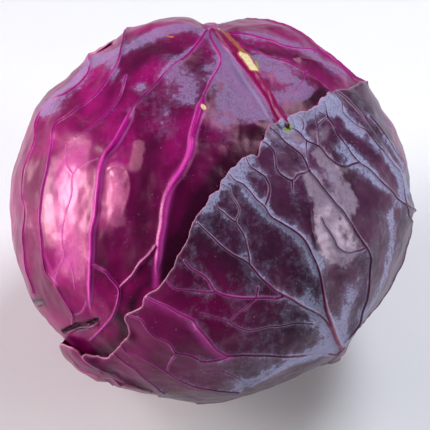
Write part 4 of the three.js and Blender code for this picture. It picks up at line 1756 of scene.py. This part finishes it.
def stem_cracks(turn, reach):
    """Cracks that run out from the middle of the cut face."""
    cracks = np.maximum(np.cos(turn * CRACKS + 0.5) ** CRACK_SHARPNESS, 0)
    return cracks * ramp(*CRACK_INNER, reach) * ramp(*CRACK_OUTER, reach)


def stem_faces(rings):
    """Triangles between rings of places, closed by two more at the ends."""
    here = np.arange(STEM_TURNS)
    after = (here + 1) % STEM_TURNS
    faces = []
    for ring in range(rings - 1):
        a, b = ring * STEM_TURNS + here, ring * STEM_TURNS + after
        c, d = b + STEM_TURNS, a + STEM_TURNS
        faces += [columns(a, c, b), columns(a, d, c)]
    face_middle = np.full(STEM_TURNS, rings * STEM_TURNS)
    faces.append(columns(here, after, face_middle))
    top = (rings - 1) * STEM_TURNS
    faces.append(columns(top + after, top + here, face_middle + 1))
    return np.vstack(faces)[:, ::-1]


def around(reach, turn, rise):
    return columns(reach * np.cos(turn), reach * np.sin(turn), rise)


def stem_mesh(settings):
    """The cut stem: a slightly hollow face, and sides with scars of old leaves."""
    face = np.linspace(0, 1, STEM_FACE_RINGS)[1:] * STEM_FACE
    side = spline([(r, z, 0.0) for r, z in STEM_SIDE], STEM_SIDE_STEP)[:, :2]
    rings = np.vstack([columns(face, 0 * face), [STEM_ROUNDING], side])
    reach, rise = np.repeat(rings, STEM_TURNS, axis=0).T
    turn = np.tile(np.arange(STEM_TURNS) / STEM_TURNS * math.tau, len(rings))
    on_face = ramp(STEM_FACE + 0.3, STEM_FACE - 1.2, reach) * (rise < 0.1)
    rough = waves(STEM_SEED, *STEM_ROUGHNESS)(around(reach, turn, rise))
    hollow = settings.hollow / MM * (1 - (reach / STEM_FACE) ** 2)
    strands = bell(reach - STRAND_RING, STRAND_WIDTH) * on_face
    cracks = stem_cracks(turn, reach) * on_face
    sunk = hollow + FACE_ROUGHNESS * rough + CRACK_DEPTH * cracks - STRAND_DEPTH * strands
    rise = rise + on_face * np.maximum(sunk, 0)
    scar = stem_scars(turn, rise)
    outside = 1 - (rise < 0.6) * (reach < STEM_RADIUS)
    reach = reach + outside * (SCAR_HEIGHT * scar + SIDE_ROUGHNESS * rough)
    ends = [[0, 0, settings.hollow / MM], [0, 0, STEM_HEIGHT]]
    places = np.vstack([around(reach, turn, rise), ends])
    marks = {
        "ring": np.append(strands, [0, 0]),
        "skin": np.append(outside, [0, 1]),
        "scar": np.append(np.maximum(scar * outside, cracks), [0.6, 0]),
    }
    return add_mesh("stem_body", places, stem_faces(len(rings)), marks)


def cube_sphere(squares):
    """Directions and faces of a cube that is evenly blown up into a ball."""
    ticks = np.linspace(-1, 1, squares + 1)
    a, b = (grid.ravel() for grid in np.meshgrid(ticks, ticks, indexing="ij"))
    one = np.ones(len(a))
    sides = []
    for sign in (1, -1):
        sides += [
            columns(sign * one, a, sign * b),
            columns(sign * b, sign * one, a),
            columns(a, sign * b, sign * one),
        ]
    cube = np.vstack(sides)
    i, j = (grid.ravel() for grid in np.meshgrid(*[np.arange(squares)] * 2, indexing="ij"))
    corner = i * (squares + 1) + j
    square = columns(corner, corner + squares + 1, corner + squares + 2, corner + 1)
    faces = np.vstack([square + k * len(a) for k in range(len(sides))])
    _, first, merged = np.unique(np.round(cube, 6), axis=0, return_index=True, return_inverse=True)
    return unit(np.tan(cube[first] * math.pi / 4)), merged.ravel()[faces]


def heart_mesh(settings):
    """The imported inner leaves, as one closed body."""
    dirs, faces = cube_sphere(HEART_SQUARES)
    relief, vein = vein_relief(dirs, pinnate(turned(HEART_MIDRIB), 5, 50.0))
    lumps = waves(HEART_SEED, *LUMP_WAVES)(dirs * HEAD_RADIUS)
    height = head_radius(dirs) + LIFT["heart"]
    height = height + HEART_RELIEF * relief * settings.vein_height + HEART_RELIEF * lumps
    marks = {"vein": vein, "pale": paleness(dirs)}
    return add_mesh("heart_body", leaf_places(dirs, height), faces, marks)


def paleness(dirs):
    """How pale a leaf is towards the stem."""
    from_stem = np.degrees(np.arccos(np.clip(-dirs[:, 2], -1, 1)))
    return ramp(PALE_TO, PALE_FROM, from_stem)


# What a user may change


def swatch(name, code, description):
    """A colour that a user may change, given as six hexadecimal digits."""
    return bpy.props.FloatVectorProperty(
        name=name, description=description, default=paint(code), size=3, min=0.0, max=1.0, subtype="COLOR"
    )


class LeafSettings(bpy.types.PropertyGroup):
    """Sizes and colours of the leaves."""

    vein_height: bpy.props.FloatProperty(
        name="Vein height", description="How far the veins stand out, as a share of their usual height",
        default=1.0, min=0.0, max=1.5, subtype="FACTOR",
    )
    leaf_thickness: bpy.props.FloatProperty(
        name="Leaf thickness", description="Thickness of a leaf away from its edge",
        default=LEAF_THICKNESS * MM, min=0.5 * MM, max=1.5 * MM, unit="LENGTH", subtype="DISTANCE",
    )
    bloom: bpy.props.FloatProperty(
        name="Bloom", description="How thick the bluish wax bloom is", default=0.9, min=0.0, max=1.0,
        subtype="FACTOR",
    )
    red_blade: swatch("Red blade", "#900860", "Blade of the red leaves")
    red_deep: swatch("Deep blade", "#62043e", "Darker parts of the red leaves' blade")
    dark_blade: swatch("Dark blade", "#56284a", "Blade of the dark leaf")
    dark_deep: swatch("Deep dark blade", "#381830", "Darker parts of the dark leaf's blade")
    red_vein: swatch("Veins", "#aa0c84", "Veins of the red leaves")
    dark_vein: swatch("Dark veins", "#560640", "Veins of the dark leaf")
    # Colours of the painted highlight along the sides of the veins
    red_flank: swatch("Vein flanks", "#c050a8", "Foot of the red leaves' veins")
    dark_flank: swatch("Dark vein flanks", "#a890b0", "Foot of the dark leaf's veins")
    crimson: swatch("Midrib", "#8a0048", "Midrib where it shows")
    # Colour of painted shade and shadows, and of darker parts of a leaf
    dark_tone_and_shadow: swatch("Dusk", "#28061e", "Where a leaf darkens")
    # Colour of painted highlights and brighter vein crests
    bright_tone_and_highlight: swatch("Blush", "#e040b4", "Where a leaf is brightest")
    # Colour of the painted highlight on smooth panels
    satin: swatch("Satin", "#a08ca2", "Where a leaf is worn smooth")
    red_wax: swatch("Bloom colour", "#9280ac", "Wax bloom on the red leaves")
    dark_wax: swatch("Dark bloom", "#b0b4da", "Wax bloom on the dark leaf")
    # The gloss tints are also painted into the blade as a highlight where it has a sheen
    red_gloss: swatch("Gloss", "#f0a0b8", "Tint of highlights on the red leaves")
    dark_gloss: swatch("Dark gloss", "#d8c4d8", "Tint of highlights on the dark leaf")
    # Colour of the painted highlight along a leaf's thin edge
    lime: swatch("Lime", "#8c9838", "Greenish edges of small wounds")
    rim: swatch("Rim", "#d890b0", "Thin edge of a leaf")
    inside: swatch("Inside", "#6a1038", "Inner side of a leaf")
    stalk: swatch("Stalk", "#d8a8b8", "Base of the leaves by the stem")
    scar: swatch("Scar", "#a85f44", "Corky scars")
    cream: swatch("Scar middle", "#e6d6a8", "Pale middle of scars")


class StemSettings(bpy.types.PropertyGroup):
    """Sizes and colours of the cut stem."""

    hollow: bpy.props.FloatProperty(
        name="Hollow", description="How far the middle of the cut face has dried inwards",
        default=STEM_HOLLOW * MM, min=0.0, max=2 * MM, unit="LENGTH", subtype="DISTANCE",
    )
    flesh: swatch("Flesh", "#e6dcc0", "Cut flesh")
    ring: swatch("Ring", "#d0b890", "Ring of strands in the flesh")
    dried: swatch("Dried", "#a08058", "Dried scars and cracks")
    skin: swatch("Skin", "#b890a0", "Skin round the stem")


class StudioSettings(bpy.types.PropertyGroup):
    """Floor, light and view."""

    light: bpy.props.FloatProperty(
        name="Light", description="Strength of the lamps as a share of their usual strength",
        default=1.0, min=0.0, max=4.0, subtype="FACTOR",
    )
    floor_width: bpy.props.FloatProperty(
        name="Floor width", description="Side of the square floor", default=6.0, min=1.0, max=20.0,
        unit="LENGTH", subtype="DISTANCE",
    )
    floor: swatch("Floor", "#e8e8ea", "Floor")
    sky: swatch("Surroundings", "#f4f6fa", "Light that comes from all round")


# Studio

CAMERA_SENSOR = 36.0
CAMERA_CLIP = 0.05
# For each soft lamp: where it stands in metres, its width and height, watts, how wide its light
# spreads in degrees, and its colour
LAMPS = {
    "left_panel": ((-0.945, 0.07, 0.29), (0.5, 0.42), 1.8, 60.0, (1.0, 0.95, 0.95)),
    "left_high_panel": ((-0.7, 0.0, 0.72), (0.36, 0.22), 0.3, 60.0, (1.0, 0.95, 0.95)),
    "right_panel": ((0.95, -0.30, 0.35), (0.3, 0.45), 0.58, 60.0, (1.0, 0.97, 0.95)),
    "top_panel": ((0.45, 0.55, 1.0), (0.5, 0.45), 11.0, 180.0, (0.86, 0.91, 1.0)),
}
SKY_STRENGTH = 0.12


def aimed(place, target):
    """The turn of a lamp that stands at a place and shines at a target."""
    return (Vector(target) - Vector(place)).to_track_quat("-Z", "Y").to_euler()


def add_lamps(settings):
    middle = (0, 0, HEAD_CENTRE_HEIGHT * MM)
    for name, (place, size, watts, spread, colour) in LAMPS.items():
        lamp = bpy.data.lights.new(name, "AREA")
        lamp.shape = "RECTANGLE"
        lamp.size, lamp.size_y = size
        lamp.energy = watts * settings.light
        lamp.spread = math.radians(spread)
        lamp.color = colour
        stand = bpy.data.objects.new(name, lamp)
        stand.location = place
        stand.rotation_euler = aimed(place, middle)
        bpy.context.collection.objects.link(stand)


def add_floor(settings):
    half = settings.floor_width / 2 / MM
    corners = np.array([(-half, -half, 0), (half, -half, 0), (half, half, 0), (-half, half, 0)])
    floor = add_mesh("floor", corners, np.array([[0, 1, 2, 3]]), {})
    floor.data.materials.append(floor_material(settings))


def add_sky(settings):
    sky = bpy.data.worlds.new("studio")
    sky.use_nodes = True
    back = sky.node_tree.nodes["Background"]
    back.inputs["Color"].default_value = (*settings.sky, 1.0)
    back.inputs["Strength"].default_value = SKY_STRENGTH * settings.light
    bpy.context.scene.world = sky


def add_camera():
    lens = bpy.data.cameras.new("camera")
    lens.sensor_width = CAMERA_SENSOR
    lens.lens = CAMERA_SENSOR * CAMERA_DISTANCE / (DRAWING_SIZE * DRAWING_MM)
    lens.clip_start = CAMERA_CLIP
    lens.dof.use_dof = False
    camera = bpy.data.objects.new("camera", lens)
    turn = Matrix([RIGHT, UP, BACK]).transposed().to_4x4()
    camera.matrix_world = Matrix.Translation(Vector(CAMERA_PLACE * MM)) @ turn
    bpy.context.collection.objects.link(camera)
    bpy.context.scene.camera = camera
    bpy.context.scene.view_settings.view_transform = "Standard"


# Operators and panel

# The most triangles on a leaf's outside
SHOWN_LIMIT = 190_000
INNER_LIMIT = 60_000


def stand_for(piece, node, material):
    """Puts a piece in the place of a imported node."""
    piece.data.materials.append(material)
    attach(piece, "root")
    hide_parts(node)


def grow(name, kind="red", limit=SHOWN_LIMIT):
    """Makes a leaf of the red or the dark kind."""
    settings = bpy.context.scene.cabbage_leaves
    piece = leaf_mesh(LEAVES[name], settings, limit)
    stand_for(piece, name, leaf_material(kind, settings))


class CABBAGE_OT_stem(bpy.types.Operator):
    """Make the cut stem"""

    bl_idname = "cabbage.stem"
    bl_label = "Stem"

    def execute(self, context):
        settings = context.scene.cabbage_stem
        piece = stem_mesh(settings)
        stand_for(piece, "stem", stem_material(settings))
        return {"FINISHED"}


class CABBAGE_OT_heart(bpy.types.Operator):
    """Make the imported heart"""

    bl_idname = "cabbage.heart"
    bl_label = "Heart"

    def execute(self, context):
        settings = context.scene.cabbage_leaves
        stand_for(heart_mesh(settings), "heart", leaf_material("red", settings))
        return {"FINISHED"}


class CABBAGE_OT_crown_leaf(bpy.types.Operator):
    """Grow the leaf that makes the crown and the left side"""

    bl_idname = "cabbage.crown_leaf"
    bl_label = "Crown leaf"

    def execute(self, context):
        grow("crown_leaf")
        return {"FINISHED"}


class CABBAGE_OT_front_leaf(bpy.types.Operator):
    """Grow the dark leaf in front"""

    bl_idname = "cabbage.front_leaf"
    bl_label = "Front leaf"

    def execute(self, context):
        grow("front_leaf", "dark")
        return {"FINISHED"}


class CABBAGE_OT_outer_leaf(bpy.types.Operator):
    """Grow the outermost leaf, with its loose flap"""

    bl_idname = "cabbage.outer_leaf"
    bl_label = "Outer leaf"

    def execute(self, context):
        grow("outer_leaf")
        return {"FINISHED"}


class CABBAGE_OT_inner_leaves(bpy.types.Operator):
    """Grow the leaves that close the head behind, underneath and on the right"""

    bl_idname = "cabbage.inner_leaves"
    bl_label = "Inner leaves"

    def execute(self, context):
        for name in INNER_LEAVES:
            grow(name, limit=INNER_LIMIT)
        return {"FINISHED"}


class CABBAGE_OT_studio(bpy.types.Operator):
    """Set up floor, lamps, surroundings and camera"""

    bl_idname = "cabbage.studio"
    bl_label = "Studio"

    def execute(self, context):
        settings = context.scene.cabbage_studio
        add_floor(settings)
        add_lamps(settings)
        add_sky(settings)
        add_camera()
        return {"FINISHED"}


PIECES = (
    CABBAGE_OT_stem, CABBAGE_OT_heart, CABBAGE_OT_crown_leaf, CABBAGE_OT_front_leaf,
    CABBAGE_OT_outer_leaf, CABBAGE_OT_inner_leaves, CABBAGE_OT_studio,
)
GROUPS = {
    "cabbage_leaves": LeafSettings,
    "cabbage_stem": StemSettings,
    "cabbage_studio": StudioSettings,
}


class CABBAGE_PT_sidebar(bpy.types.Panel):
    """The cabbage's settings and the buttons that make its pieces"""

    bl_label = "Red cabbage"
    bl_space_type = "VIEW_3D"
    bl_region_type = "UI"
    bl_category = "Cabbage"

    def draw(self, context):
        for piece in PIECES:
            self.layout.operator(piece.bl_idname)
        for name, group in GROUPS.items():
            box = self.layout.box()
            for setting in group.__annotations__:
                box.prop(getattr(context.scene, name), setting)


def register():
    for group in GROUPS.values():
        bpy.utils.register_class(group)
    for name, group in GROUPS.items():
        setattr(bpy.types.Scene, name, bpy.props.PointerProperty(type=group))
    for piece in PIECES:
        bpy.utils.register_class(piece)
    bpy.utils.register_class(CABBAGE_PT_sidebar)


def unregister():
    bpy.utils.unregister_class(CABBAGE_PT_sidebar)
    for piece in reversed(PIECES):
        bpy.utils.unregister_class(piece)
    for name in GROUPS:
        delattr(bpy.types.Scene, name)
    for group in reversed(GROUPS.values()):
        bpy.utils.unregister_class(group)


def main():
    register()
    bpy.ops.cabbage.stem()
    bpy.ops.cabbage.heart()
    bpy.ops.cabbage.crown_leaf()
    bpy.ops.cabbage.front_leaf()
    bpy.ops.cabbage.outer_leaf()
    bpy.ops.cabbage.inner_leaves()
    bpy.ops.cabbage.studio()


if __name__ == "__main__":
    main()
